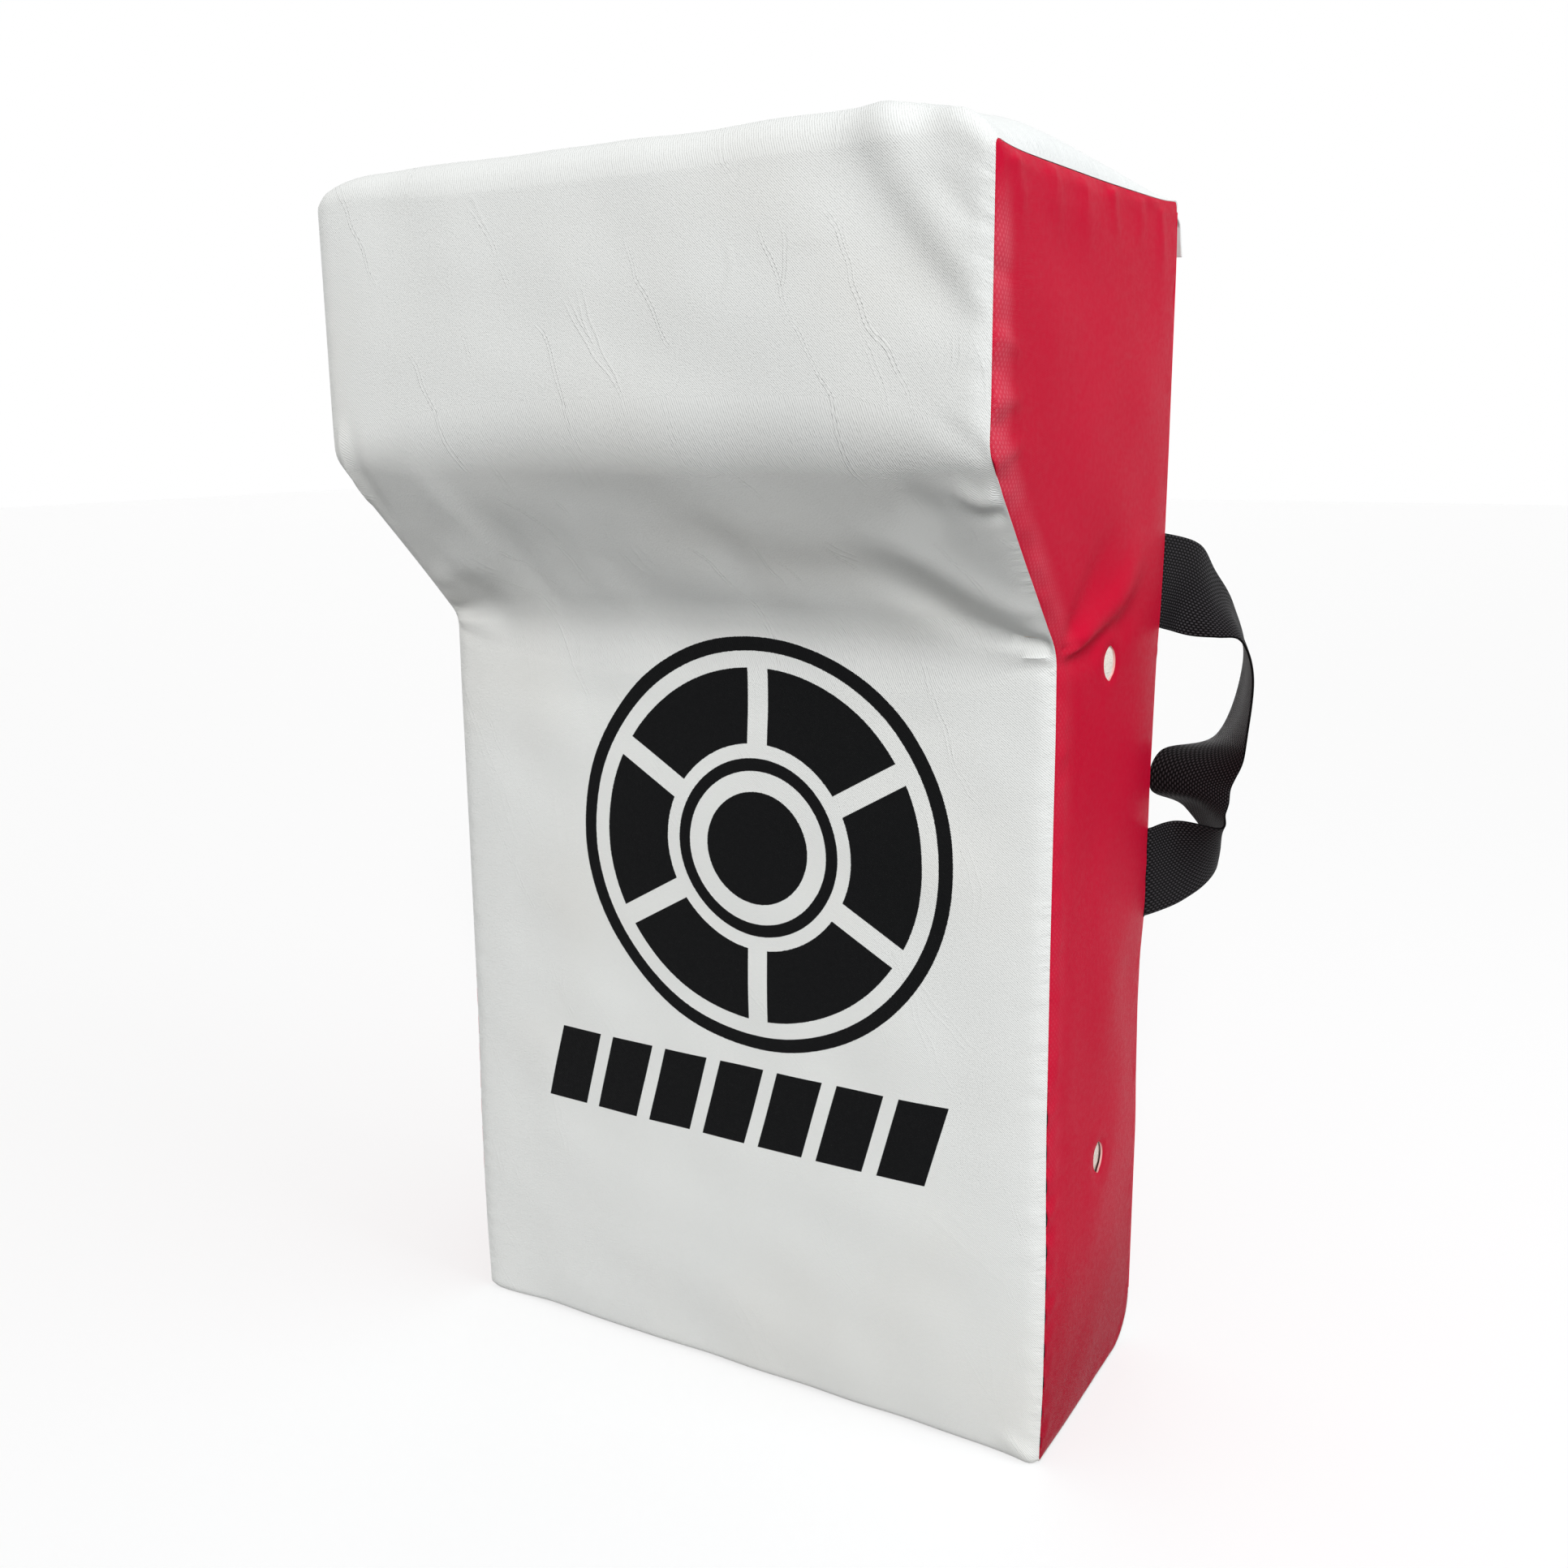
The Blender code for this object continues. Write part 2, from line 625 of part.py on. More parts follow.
def build_anchor_backing(name, side, material):
    """The strip behind the back panel that both ends of a handle are sewn to."""
    outer_x = side * (HALF_WIDTH - FOAM_INSET)
    inner_x = side * (HALF_WIDTH - FOAM_INSET - BACKING_WIDTH)
    low = LOWER_ANCHOR_HEIGHT - WEBBING_WIDTH / 2 - BACKING_OVERRUN
    high = UPPER_ANCHOR_HEIGHT + WEBBING_WIDTH / 2 + BACKING_OVERRUN
    strip = upright_block(
        min(outer_x, inner_x), max(outer_x, inner_x), even_heights(low, high),
        level_depth(BACKING_REAR_Y - BACKING_THICKNESS), level_depth(BACKING_REAR_Y),
        THIN_SHARES, THIN_SHARES,
    )
    swell_mesh(strip)
    return link_object(name, strip, material)


def build_shield():
    """Builds every piece of the hit shield."""
    white_sheet = surface_material("white_leatherette", (0.68, 0.69, 0.66), 0.45)
    red_sheet = surface_material("red_coated_cloth", (0.55, 0.02, 0.05), 0.40)
    black_webbing = surface_material("black_webbing", (0.012, 0.012, 0.013), 0.60)
    grey_backing = surface_material("backing_cloth", (0.10, 0.10, 0.11), 0.80)
    cream_foam = surface_material("cream_foam", (0.76, 0.70, 0.56), 0.90)
    firm_foam = surface_material("firm_foam", (0.30, 0.31, 0.33), 0.85)
    hook_surface = surface_material("hook_tape", (0.02, 0.02, 0.02), 0.70)
    loop_surface = surface_material("loop_tape", (0.03, 0.03, 0.03), 0.95)

    build_front_panel(white_sheet)
    build_bottom_panel(white_sheet)
    build_back_panel(red_sheet)
    build_foam(firm_foam, cream_foam)
    build_flap(white_sheet, hook_surface, loop_surface)
    for side_name, side in (("right", 1), ("left", -1)):
        build_side_panel(f"{side_name}_side_panel", side, red_sheet)
        build_handle(f"{side_name}_handle", side, black_webbing)
        build_handle_tail(f"{side_name}_handle_upper_tail", side, UPPER_ANCHOR_HEIGHT, black_webbing)
        build_handle_tail(f"{side_name}_handle_lower_tail", side, LOWER_ANCHOR_HEIGHT, black_webbing)
        build_anchor_backing(f"{side_name}_anchor_backing", side, grey_backing)


clear_scene()
build_shield()
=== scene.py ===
import math

import bmesh
import bpy
import numpy as np
from mathutils import Matrix, Vector


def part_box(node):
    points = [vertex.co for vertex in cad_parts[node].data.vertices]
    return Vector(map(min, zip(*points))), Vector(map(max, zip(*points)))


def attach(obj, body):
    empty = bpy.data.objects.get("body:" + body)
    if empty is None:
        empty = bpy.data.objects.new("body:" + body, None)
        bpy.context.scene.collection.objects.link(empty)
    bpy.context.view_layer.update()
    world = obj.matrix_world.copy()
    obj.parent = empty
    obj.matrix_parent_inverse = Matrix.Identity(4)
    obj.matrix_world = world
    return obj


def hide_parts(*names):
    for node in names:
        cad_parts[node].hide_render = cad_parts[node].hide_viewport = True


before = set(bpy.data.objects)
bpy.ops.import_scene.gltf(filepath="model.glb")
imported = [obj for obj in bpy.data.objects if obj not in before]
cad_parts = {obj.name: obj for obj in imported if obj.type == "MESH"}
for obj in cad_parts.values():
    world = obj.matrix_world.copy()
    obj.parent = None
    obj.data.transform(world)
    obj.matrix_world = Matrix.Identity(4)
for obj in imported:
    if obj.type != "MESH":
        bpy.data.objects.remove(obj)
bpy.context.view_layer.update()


# Camera, where the photograph was taken from

camera = {
    "lens": 36.83,
    "sensor": 36.0,
    "clip": (0.02, 60.0),
    "place": (0.5289, -0.9183, 0.6298),
    "right": (0.86374, 0.50385, -0.00976),
    "down": (0.10235, -0.19434, -0.97558),
    "forward": (-0.49344, 0.84165, -0.21942),
}

cameraData = bpy.data.cameras.new("photoCamera")
cameraData.lens = camera["lens"]
cameraData.sensor_width = camera["sensor"]
cameraData.clip_start, cameraData.clip_end = camera["clip"]
cameraItem = bpy.data.objects.new("photoCamera", cameraData)
bpy.context.scene.collection.objects.link(cameraItem)
cameraAxes = Matrix((camera["right"], -Vector(camera["down"]), -Vector(camera["forward"]))).transposed()
cameraItem.matrix_world = Matrix.Translation(camera["place"]) @ cameraAxes.to_4x4()
bpy.context.scene.camera = cameraItem
bpy.context.scene.view_settings.view_transform = "Standard"
print("camera placed")


# Node helpers, which all add to the tree in use

def useTree(owner):  # of a material or a world
    global tree
    owner.use_nodes = True
    tree = owner.node_tree


def newMaterial(name):
    material = bpy.data.materials.new(name)
    useTree(material)
    return material


def fill(socket, value):  # a socket takes a link or a plain value
    if isinstance(value, bpy.types.NodeSocket):
        tree.links.new(value, socket)
    else:
        socket.default_value = value


def addNode(kind, output, inputs, **settings):
    node = tree.nodes.new("ShaderNode" + kind)
    for name, value in settings.items():
        setattr(node, name, value)
    for name, value in inputs.items():
        fill(node.inputs[name], value)
    return node.outputs if output is None else node.outputs[output]


def dress(colour, rough, normal=None, gloss=None):  # fills the surface shader
    for name, value in (("Base Color", colour), ("Roughness", rough), ("Normal", normal),
                        ("Specular IOR Level", gloss)):
        if value is not None:
            fill(tree.nodes["Principled BSDF"].inputs[name], value)


def calc(operation, first, second=0.0):
    return addNode("Math", 0, {0: first, 1: second}, operation=operation)


def times(first, *others):
    for value in others:
        first = calc("MULTIPLY", first, value)
    return first


def most(first, *others):
    for value in others:
        first = calc("MAXIMUM", first, value)
    return first


def plus(first, second):
    return calc("ADD", first, second)


def minus(first, second):
    return calc("SUBTRACT", first, second)


def ramp(value, fromLow, fromHigh, toLow=0.0, toHigh=1.0):  # smooth step between two values
    return addNode("MapRange", "Result", {"Value": value, "From Min": fromLow, "From Max": fromHigh,
                                          "To Min": toLow, "To Max": toHigh}, interpolation_type="SMOOTHSTEP")


def blend(factor, *colours):
    first, second = [value if isinstance(value, bpy.types.NodeSocket) else (*value, 1.0) for value in colours]
    return addNode("Mix", 2, {"Factor": factor, 6: first, 7: second}, data_type="RGBA")


def mapped(source, scale=(1, 1, 1), turn=0.0, shift=(0, 0, 0)):
    return addNode("Mapping", 0, {"Vector": source, "Scale": scale, "Rotation": (0, 0, math.radians(turn)),
                                  "Location": shift})


def cloudy(place, scale, detail=2.0, rough=0.5):
    return addNode("TexNoise", "Fac", {"Vector": place, "Scale": scale, "Detail": detail, "Roughness": rough})


def cells(place, scale, feature="DISTANCE_TO_EDGE"):
    return addNode("TexVoronoi", "Distance", {"Vector": place, "Scale": scale}, feature=feature)


def ribs(place, pitch, turn):  # sine ribs of a pitch in metres, turned in the cut's plane
    return addNode("TexWave", "Fac", {"Vector": mapped(place, (2 / pitch,) * 3, turn), "Scale": math.pi / 10})


def raised(*layers):  # bumps on bumps, each with a height, a distance and a strength
    normal = None
    for height, distance, strength in layers:
        inputs = {"Height": height, "Distance": distance, "Strength": strength}
        if normal is not None:
            inputs["Normal"] = normal
        normal = addNode("Bump", 0, inputs)
    return normal


def cutPlace():  # the place on the flat cut sheet, in metres
    return addNode("UVMap", 0, {}, uv_map="cut")


def objectPlace():
    return addNode("TexCoord", "Object", {})


def split(vector):
    return addNode("SeparateXYZ", None, {0: vector})


def toned(colour, share):
    return tuple(value * share for value in colour)


# Coated cover cloths

coverLook = {
    "white": (0.797, 0.809, 0.793),
    "whiteWarm": (0.777, 0.773, 0.742),
    "whiteRoughness": 0.44,
    "whiteGloss": 0.06,
    "red": (0.600, 0.004, 0.034),
    "redDeep": (0.565, 0.003, 0.029),
    "redFloorShade": (0.170, 0.003, 0.012),
    # colour of the painted shade on the red near the floor
    "redRoughness": 0.36,
    "redGloss": 0.022,
    "ribPitch": 0.0020,
    "ribTurn": -44.0,
    "redPitch": 0.0016,
    "highlightPitch": 0.0046,
    "puckerReach": 0.0100,
    "seamHighlightStrength": 0.42,
}

printLook = {
    "centre": (0.0265, 0.372),
    "outerRing": (0.1235, 0.1325),
    "wideRing": (0.066, 0.113),
    "thinRing": (0.049, 0.057),
    "disc": 0.036,
    "gaps": 6,
    "gapWidth": 0.014,
    "barHeights": (0.172, 0.226),
    "barSpan": (-0.152, 0.148),
    "bars": 7,
    "barLean": -0.28,
    "barShare": 0.88,  # how far a bar reaches in its pitch, from both ends
    "softness": 0.00022,
    "ink": (0.0040, 0.0042, 0.0046),
    "height": 0.00012,
    "dullness": 0.12,
}


def puckers(cut, width):  # small gathers beside a seam at the cut's two long edges
    across = split(cut)[0]
    near = ramp(calc("MINIMUM", across, minus(width, across)), 0.0, coverLook["puckerReach"], 1.0, 0.0)
    waver = cloudy(mapped(cut, (60, 190, 1)), 1.0)
    seen = ramp(cloudy(mapped(cut, (8, 22, 1)), 1.0), 0.40, 0.62, 0.15, 1.0)
    return times(minus(waver, 0.5), near, seen)


def printMask(place):  # a plain practice target with a bar row under it
    look = printLook
    soft = look["softness"]

    def within(value, low, high):
        return times(ramp(value, low - soft, low + soft), ramp(value, high - soft, high + soft, 1.0, 0.0))

    x, y, z = split(place)
    ragged = times(minus(cloudy(place, 900.0, 1.0), 0.5), 0.0005)
    dx, dz = minus(x, look["centre"][0]), minus(z, look["centre"][1])
    far = plus(calc("SQRT", plus(times(dx, dx), times(dz, dz))), ragged)
    turnShare = times(calc("ARCTAN2", dz, dx), look["gaps"] / (2 * math.pi))
    inTurn = calc("ABSOLUTE", minus(calc("FRACT", plus(turnShare, 8.0)), 0.5))
    gapArc = times(inTurn, far, 2 * math.pi / look["gaps"])
    solid = ramp(gapArc, look["gapWidth"] / 2 - soft, look["gapWidth"] / 2 + soft)
    low, high = look["barHeights"]
    left, right = look["barSpan"]
    pitch = (right - left) / look["bars"]
    barNumber = calc("DIVIDE", minus(plus(x, times(minus(z, low), look["barLean"])), left), pitch)
    inBar = times(calc("FRACT", barNumber), pitch)
    bars = times(within(inBar, pitch * (1 - look["barShare"]), pitch * look["barShare"]), within(z, low, high),
                 within(barNumber, 0.0, float(look["bars"])))
    total = most(within(far, *look["outerRing"]), times(within(far, *look["wideRing"]), solid),
                 within(far, *look["thinRing"]), within(far, -1.0, look["disc"]), bars)
    return times(total, calc("LESS_THAN", y, 0.0))  # on the front only


def veinWrinkles(cut, turn, scale, shift, low, high):  # sparse paired lines, as in a folded coated cloth
    bend = addNode("CombineXYZ", 0, {0: times(cloudy(mapped(cut, shift=shift), 15.0), 0.030)})
    bent = mapped(addNode("VectorMath", 0, {0: cut, 1: bend}), turn=turn)
    edge = cells(mapped(bent, scale, shift=shift), 1.0)
    line = ramp(calc("ABSOLUTE", minus(edge, 0.017)), 0.0, 0.009, 1.0, 0.0)
    return times(line, ramp(cloudy(mapped(cut, shift=(shift[0] + 3.1, 0.4, 0)), 12.0, 3.0), low, high))


def whiteCover(name, width, printed=False):
    material = newMaterial(name)
    cut, place = cutPlace(), objectPlace()
    colour = blend(ramp(cloudy(place, 6.0), 0.45, 0.75, 0.0, 0.6), coverLook["white"], coverLook["whiteWarm"])
    twill = ribs(cut, coverLook["ribPitch"], coverLook["ribTurn"])
    grain = times(twill, ramp(cloudy(mapped(cut, turn=-60), 900.0), 0.30, 0.70, 0.25, 1.0))
    pebbles = cells(mapped(cut, (520, 900, 1), 30), 1.0, "F1")
    veins = plus(veinWrinkles(cut, -28.0, (19, 2.2, 1), (0, 0, 0), 0.46, 0.60),
                 veinWrinkles(cut, -8.0, (15, 2.5, 1), (1.7, 2.3, 0), 0.50, 0.64))
    veins = times(veins, ramp(split(cut)[1], 0.42, 0.60, 0.45, 1.0))  # fewer on the lower part
    colour = blend(times(minus(1.0, grain), 0.16), colour, (0.66, 0.67, 0.65))
    colour = blend(ramp(veins, 0.1, 0.9, 0.0, 0.05), colour, (0.60, 0.60, 0.57))
    level = coverLook["whiteRoughness"]
    rough = ramp(cloudy(place, 260.0, 3.0), 0.3, 0.7, level - 0.04, level + 0.06)
    layers = [(grain, 0.00022, 0.9), (pebbles, 0.00016, 0.5), (veins, 0.00022, 0.85),
              (puckers(cut, width), 0.0030, 0.4), (cloudy(cut, 45.0, 3.0), 0.0012, 0.10)]
    if printed:
        mask = printMask(place)
        specks = ramp(cloudy(place, 900.0, 3.0, 0.7), 0.72, 0.78, 0.0, 0.35)
        colour = blend(mask, colour, blend(specks, printLook["ink"], (0.10, 0.10, 0.10)))
        rough = plus(rough, times(mask, printLook["dullness"]))
        layers.append((mask, printLook["height"], 0.8))
    dress(colour, rough, raised(*layers), coverLook["whiteGloss"])
    return material


def redCover(name, sided=False):
    material = newMaterial(name)
    cut, place = cutPlace(), objectPlace()
    pitch, highlightPitch = coverLook["redPitch"], coverLook["highlightPitch"]
    colour = blend(ramp(cloudy(place, 5.0), 0.35, 0.75), coverLook["red"], coverLook["redDeep"])
    weave = times(ribs(cut, pitch, 38.0), ribs(cut, pitch, -52.0))
    colour = blend(times(weave, 0.04), colour, (0.85, 0.10, 0.14))
    fromSeam = addNode("Attribute", "Fac", {}, attribute_name="fromSeam")
    # painted highlight: a lighter, pinker band beside the seams, with a diamond pattern in it
    diamonds = times(ribs(cut, highlightPitch, 33.0), ribs(cut, highlightPitch, -33.0))
    band = times(ramp(fromSeam, 0.0, 0.004), ramp(fromSeam, 0.009, 0.024, 1.0, 0.0))
    if sided:  # the painted highlight is stronger at the front edge than at the rear one, most of all on the head
        depth, height, none = split(cut)
        band = times(band, ramp(depth, 0.10, 0.17, 1.0, 0.0), ramp(height, 0.45, 0.64, 0.35, 1.0),
                     ramp(height, 0.715, 0.752, 1.0, 0.0))
    else:
        band = times(band, 0.15)
    patchy = ramp(cloudy(cut, 22.0), 0.35, 0.62, 0.5, 1.0)
    seamHighlight = times(band, patchy, ramp(diamonds, 0.1, 0.8, 0.45, 1.0))
    colour = blend(times(seamHighlight, coverLook["seamHighlightStrength"]), colour, (0.90, 0.24, 0.30))
    if sided:  # painted shade, darker towards the floor
        colour = blend(ramp(height, 0.0, 0.17, 0.42, 0.0), colour, coverLook["redFloorShade"])
    near = ramp(fromSeam, 0.0, coverLook["puckerReach"] * 1.4, 1.0, 0.0)
    normal = raised((weave, 0.00022, 0.9), (times(near, cloudy(cut, 130.0)), 0.0022, 0.35),
                    (cloudy(cut, 60.0, 3.0), 0.0010, 0.08))
    level = coverLook["redRoughness"]
    dress(colour, ramp(cloudy(place, 300.0, 3.0), 0.3, 0.7, level - 0.03, level + 0.06), normal, coverLook["redGloss"])
    return material


# Shape of the stuffed block, as the CAD has it

body = {
    "halfWidth": 0.2175,
    "height": 0.760,
    "rear": 0.0865,
    "front": -0.0865,
    "headFront": -0.1885,
    "crease": 0.504,
    "brow": 0.617,
    "lowerCrown": 0.010,
    "headCrown": 0.008,
    "topCrown": 0.020,
    "topSag": 0.0035,
    "sideCrown": 0.007,
    "rearCrown": 0.005,
    "creaseBridge": 0.004,
    "creaseReach": 0.050,
    "flapSeam": 0.752,
    "rearFoot": 0.032,
    "frontFoot": 0.004,
    "seamLead": 0.002,
    "topRound": 0.006,
    "cloth": 0.0012,
}


def smooth(share):
    share = np.clip(share, 0.0, 1.0)
    return share * share * (3 - 2 * share)


def bump(share, power):
    return 1.0 - np.minimum(1.0, np.abs(share)) ** power


def roundedRun(corners, perMetre=1250, perTurn=32):  # corners as depth, height and rounding
    points = [np.array(corners[0][:2], float)[None, :]]
    last = points[0][0]
    for before, here, after in zip(corners, corners[1:], corners[2:]):
        corner = np.array(here[:2], float)
        toBefore = np.array(before[:2], float) - corner
        toAfter = np.array(after[:2], float) - corner
        straight = np.linalg.norm(toBefore)
        toBefore /= straight
        toAfter /= np.linalg.norm(toAfter)
        half = math.acos(float(toBefore @ toAfter)) / 2
        middle = toBefore + toAfter
        centre = corner + middle / np.linalg.norm(middle) * here[2] / math.sin(half)
        start = corner + toBefore * here[2] / math.tan(half) - centre
        end = corner + toAfter * here[2] / math.tan(half) - centre
        turn = math.pi - 2 * half
        shares = np.linspace(0.0, 1.0, perTurn + 1)[:, None]
        arc = centre + (start * np.sin((1 - shares) * turn) + end * np.sin(shares * turn)) / math.sin(turn)
        steps = np.linspace(0.0, 1.0, max(2, int(straight * perMetre)))[1:-1, None]
        points += [last + (arc[0] - last) * steps, arc]
        last = arc[-1]
    steps = np.linspace(0.0, 1.0, 24)[1:, None]
    points.append(last + (np.array(corners[-1][:2], float) - last) * steps)
    return np.concatenate(points)


def runLength(points):
    return np.concatenate([[0.0], np.cumsum(np.linalg.norm(np.diff(points, axis=0), axis=1))])


def frontCorners(crease, brow, top):  # the strip's side outline with the given roundings
    return (
        (body["front"] + 0.016, 0.0, 0), (body["front"], 0.0, body["frontFoot"]),
        (body["front"], body["crease"], crease), (body["headFront"], body["brow"], brow),
        (body["headFront"], body["height"], top),
        (body["rear"], body["height"], body["topRound"]), (body["rear"], body["flapSeam"], 0),
    )


frontRun = roundedRun(frontCorners(0.020, 0.018, 0.007))  # at the seams
softRun = roundedRun(frontCorners(0.070, 0.055, 0.018))  # in mid-width, where the foam rounds it off
frontLength = runLength(frontRun)
bottomRun = roundedRun((
    (body["rear"], body["rearFoot"] + body["seamLead"], 0), (body["rear"], 0.0, body["rearFoot"]),
    (body["front"] + 0.0163, 0.0, 0),
))
bottomLength = runLength(bottomRun)
outlineRun = roundedRun((
    (body["front"], 0.25, 0), (body["front"], body["crease"], 0.020), (body["headFront"], body["brow"], 0.018),
    (body["headFront"], body["height"], 0.007), (body["rear"], body["height"], body["topRound"]),
    (body["rear"], 0.0, body["rearFoot"]), (body["front"], 0.0, body["frontFoot"]), (body["front"], 0.25, 0),
))
risingFront = frontRun[:int(np.argmax(frontRun[:, 1] > body["height"] - 0.0002))]


def frontDepth(height):
    return np.interp(height, risingFront[:, 1], risingFront[:, 0])


# how far the side seams stand from straight, by height
settled = {
    "rear": ((0.0, 0.0), (0.16, 0.0), (0.19, -0.0009), (0.245, -0.0019), (0.28, -0.0016), (0.30, -0.0004),
             (0.32, 0.0004), (0.40, 0.0003), (0.44, 0.0008), (0.48, 0.0013), (0.51, 0.0025), (0.55, 0.0034),
             (0.60, 0.0036), (0.72, 0.0035), (0.745, 0.0030), (0.80, 0.0026)),
    "front": ((0.0, 0.0009), (0.016, 0.0012), (0.05, 0.0022), (0.10, 0.0023), (0.14, 0.0019), (0.18, 0.0008),
              (0.22, 0.0), (0.27, -0.0003), (0.32, -0.0007), (0.40, -0.0010), (0.46, -0.0012), (0.50, -0.0018),
              (0.56, -0.0017), (0.60, -0.0008), (0.64, 0.0), (0.80, 0.0)),
    "browDrop": ((0.0, 0.0), (0.50, 0.0), (0.535, 0.0012), (0.60, 0.0058), (0.63, 0.0060), (0.70, 0.0), (0.80, 0.0)),
    # how much higher the head's front top edge stands, from left to right
    "topEdge": ((-0.24, 0.0030), (-0.2175, 0.0030), (-0.208, 0.0042), (-0.200, 0.0042), (-0.185, 0.0035),
                (-0.170, 0.0022), (-0.155, 0.0009), (-0.140, -0.0005), (-0.125, -0.0018), (-0.105, -0.0026),
                (-0.065, -0.0025), (-0.045, -0.0017), (0.0, -0.0014), (0.030, -0.0018), (0.055, -0.0008), (0.070, 0.0),
                (0.090, 0.0008), (0.130, 0.0011), (0.180, 0.0010), (0.192, 0.0018), (0.205, 0.0006), (0.214, 0.0),
                (0.24, 0.0)),
}


def settledAt(kind, place, low=-0.02, high=0.80):
    steps = np.linspace(low, high, 500)
    values = np.interp(steps, *np.array(settled[kind]).T)
    kernel = np.hanning(15)
    values = np.convolve(np.pad(values, 7, mode="edge"), kernel / kernel.sum(), mode="valid")
    return np.interp(place, steps, values)


def settle(points):  # the small ways in which the sewn cover leaves its straight seams
    x, y, z = np.moveaxis(points, -1, 0)
    rearShare = smooth((y + 0.05) / 0.12)
    out = settledAt("front", z) * (1 - rearShare) + settledAt("rear", z) * rearShare
    across = x / body["halfWidth"]
    drop = settledAt("browDrop", z) * (1 - rearShare)
    drop = drop * (smooth((-across - 0.25) / 0.6) + 0.5 * smooth((across - 0.45) / 0.5))
    return np.stack([x + out * np.clip(across, -1.1, 1.1) ** 3, y, z - drop], axis=-1)


def swell(x, y, z):  # moves points of the flat-sided block to their places in the stuffed one
    across = x / body["halfWidth"]
    widthBump = bump(across, 4)
    depthHere = body["rear"] - frontDepth(z)
    frontShare = (body["rear"] - y) / depthHere
    side = body["sideCrown"] * bump(2 * frontShare - 1, 2) * bump(2 * z / body["height"] - 1, 4)
    headShare = (z - body["crease"]) / (body["height"] - body["crease"])
    lower = body["lowerCrown"] * bump(2 * z / body["crease"] - 1, 4)
    head = body["headCrown"] * bump(2 * headShare - 1, 2)
    front = np.where(z < body["crease"], lower, head)
    front = front + body["creaseBridge"] * bump((z - body["crease"]) / body["creaseReach"], 2) ** 2
    rear = body["rearCrown"] * bump(2 * z / body["flapSeam"] - 1, 4)
    headRise = np.maximum(0.0, headShare)
    topShare = (body["rear"] - y) / (body["rear"] - body["headFront"])
    behindEdge = smooth((1 - topShare) / 0.3)  # the top rises more steeply from its side seams behind its front edge
    rise = np.where(x > 0, bump(across, 9) * (1 - behindEdge) + bump(across, 24) * behindEdge, bump(across, 4.6))
    top = (body["topCrown"] * rise + settledAt("topEdge", x, -0.24, 0.24)) * bump(1 - topShare, 3)
    sag = body["topSag"] * bump(2 * topShare - 1, 8) * (1 - bump(across, 9))
    return settle(np.stack([
        x * (1 + side / body["halfWidth"]),
        y - front * widthBump * frontShare + rear * widthBump * (1 - frontShare),
        z + (top - sag) * headRise ** 2,
    ], axis=-1))


def graded(length, edge, middle, growth=0.25):  # steps that are fine at both ends
    steps = [0.0]
    while steps[-1] < length / 2:
        steps.append(steps[-1] + min(middle, edge + growth * steps[-1]))
    half = np.array(steps) * (length / 2 / steps[-1])
    return np.concatenate([half, length - half[-2::-1]])


def gridNormals(points):
    normals = np.cross(np.gradient(points, axis=1), np.gradient(points, axis=0))
    return normals / np.maximum(np.linalg.norm(normals, axis=-1, keepdims=True), 1e-12)


def curveThrough(values, steps):  # a smooth curve through the stations
    values = np.array(values, float)
    padded = np.vstack([2 * values[0] - values[1], values, 2 * values[-1] - values[-2]])
    curve = []
    for index in range(1, len(padded) - 2):
        before, start, end, after = padded[index - 1:index + 3]
        for t in np.arange(steps) / steps:
            curve.append(0.5 * (
                2 * start + (end - before) * t + (2 * before - 5 * start + 4 * end - after) * t ** 2
                + (3 * start - before - 3 * end + after) * t ** 3
            ))
    return np.array(curve + [values[-1]])


def fromPath(a, b, path):  # signed distance from a path in the sheet, and the share along it
    best = np.full(np.shape(a), 1e9)
    share = np.zeros(np.shape(a))
    side = np.ones(np.shape(a))
    path = curveThrough(path, 5) if len(path) > 2 else path
    spans = np.linalg.norm(np.diff(path, axis=0), axis=1)
    total, done = spans.sum(), 0.0
    for start, end, span in zip(path, path[1:], spans):
        direction = (end - start) / span
        da, db = a - start[0], b - start[1]
        along = np.clip(da * direction[0] + db * direction[1], 0.0, span)
        away = np.hypot(da - along * direction[0], db - along * direction[1])
        nearer = away < best
        best = np.where(nearer, away, best)
        share = np.where(nearer, (done + along) / total, share)
        side = np.where(nearer, np.sign(direction[0] * db - direction[1] * da + 1e-12), side)
        done += span
    return best * side, share


# A fold is a path of points in the sheet, its width at start and end and its height, all in millimetres, then the
# shares of the path over which it fades in and out, and, where they differ, its widths to the left and the right.
def folds(a, b, listed):
    total = np.zeros(np.shape(a))
    for path, startWidth, endWidth, height, startTaper, endTaper, *sides in listed:
        away, share = fromPath(a, b, np.reshape(path, (-1, 2)) / 1000)
        left, right = sides or (1.0, 1.0)
        strength = smooth(share / max(startTaper, 1e-6)) * smooth((1 - share) / max(endTaper, 1e-6))
        width = (startWidth + (endWidth - startWidth) * share) / 1000 * np.where(away > 0, left, right)
        total += strength * height / 1000 * np.exp(-(away / width) ** 2)
    return total


def waves(a, b, seed, scale, amount, sines=14):  # gentle unevenness from a few seeded sines
    chance = np.random.default_rng(seed)
    total = np.zeros(np.shape(a))
    for index in range(sines):
        angle = chance.uniform(0, 2 * math.pi)
        pitch = scale * chance.uniform(0.6, 1.6)
        phase = chance.uniform(0, 2 * math.pi)
        total += np.sin((a * math.cos(angle) + b * math.sin(angle)) * 2 * math.pi / pitch + phase)
    return total * amount / math.sqrt(sines)


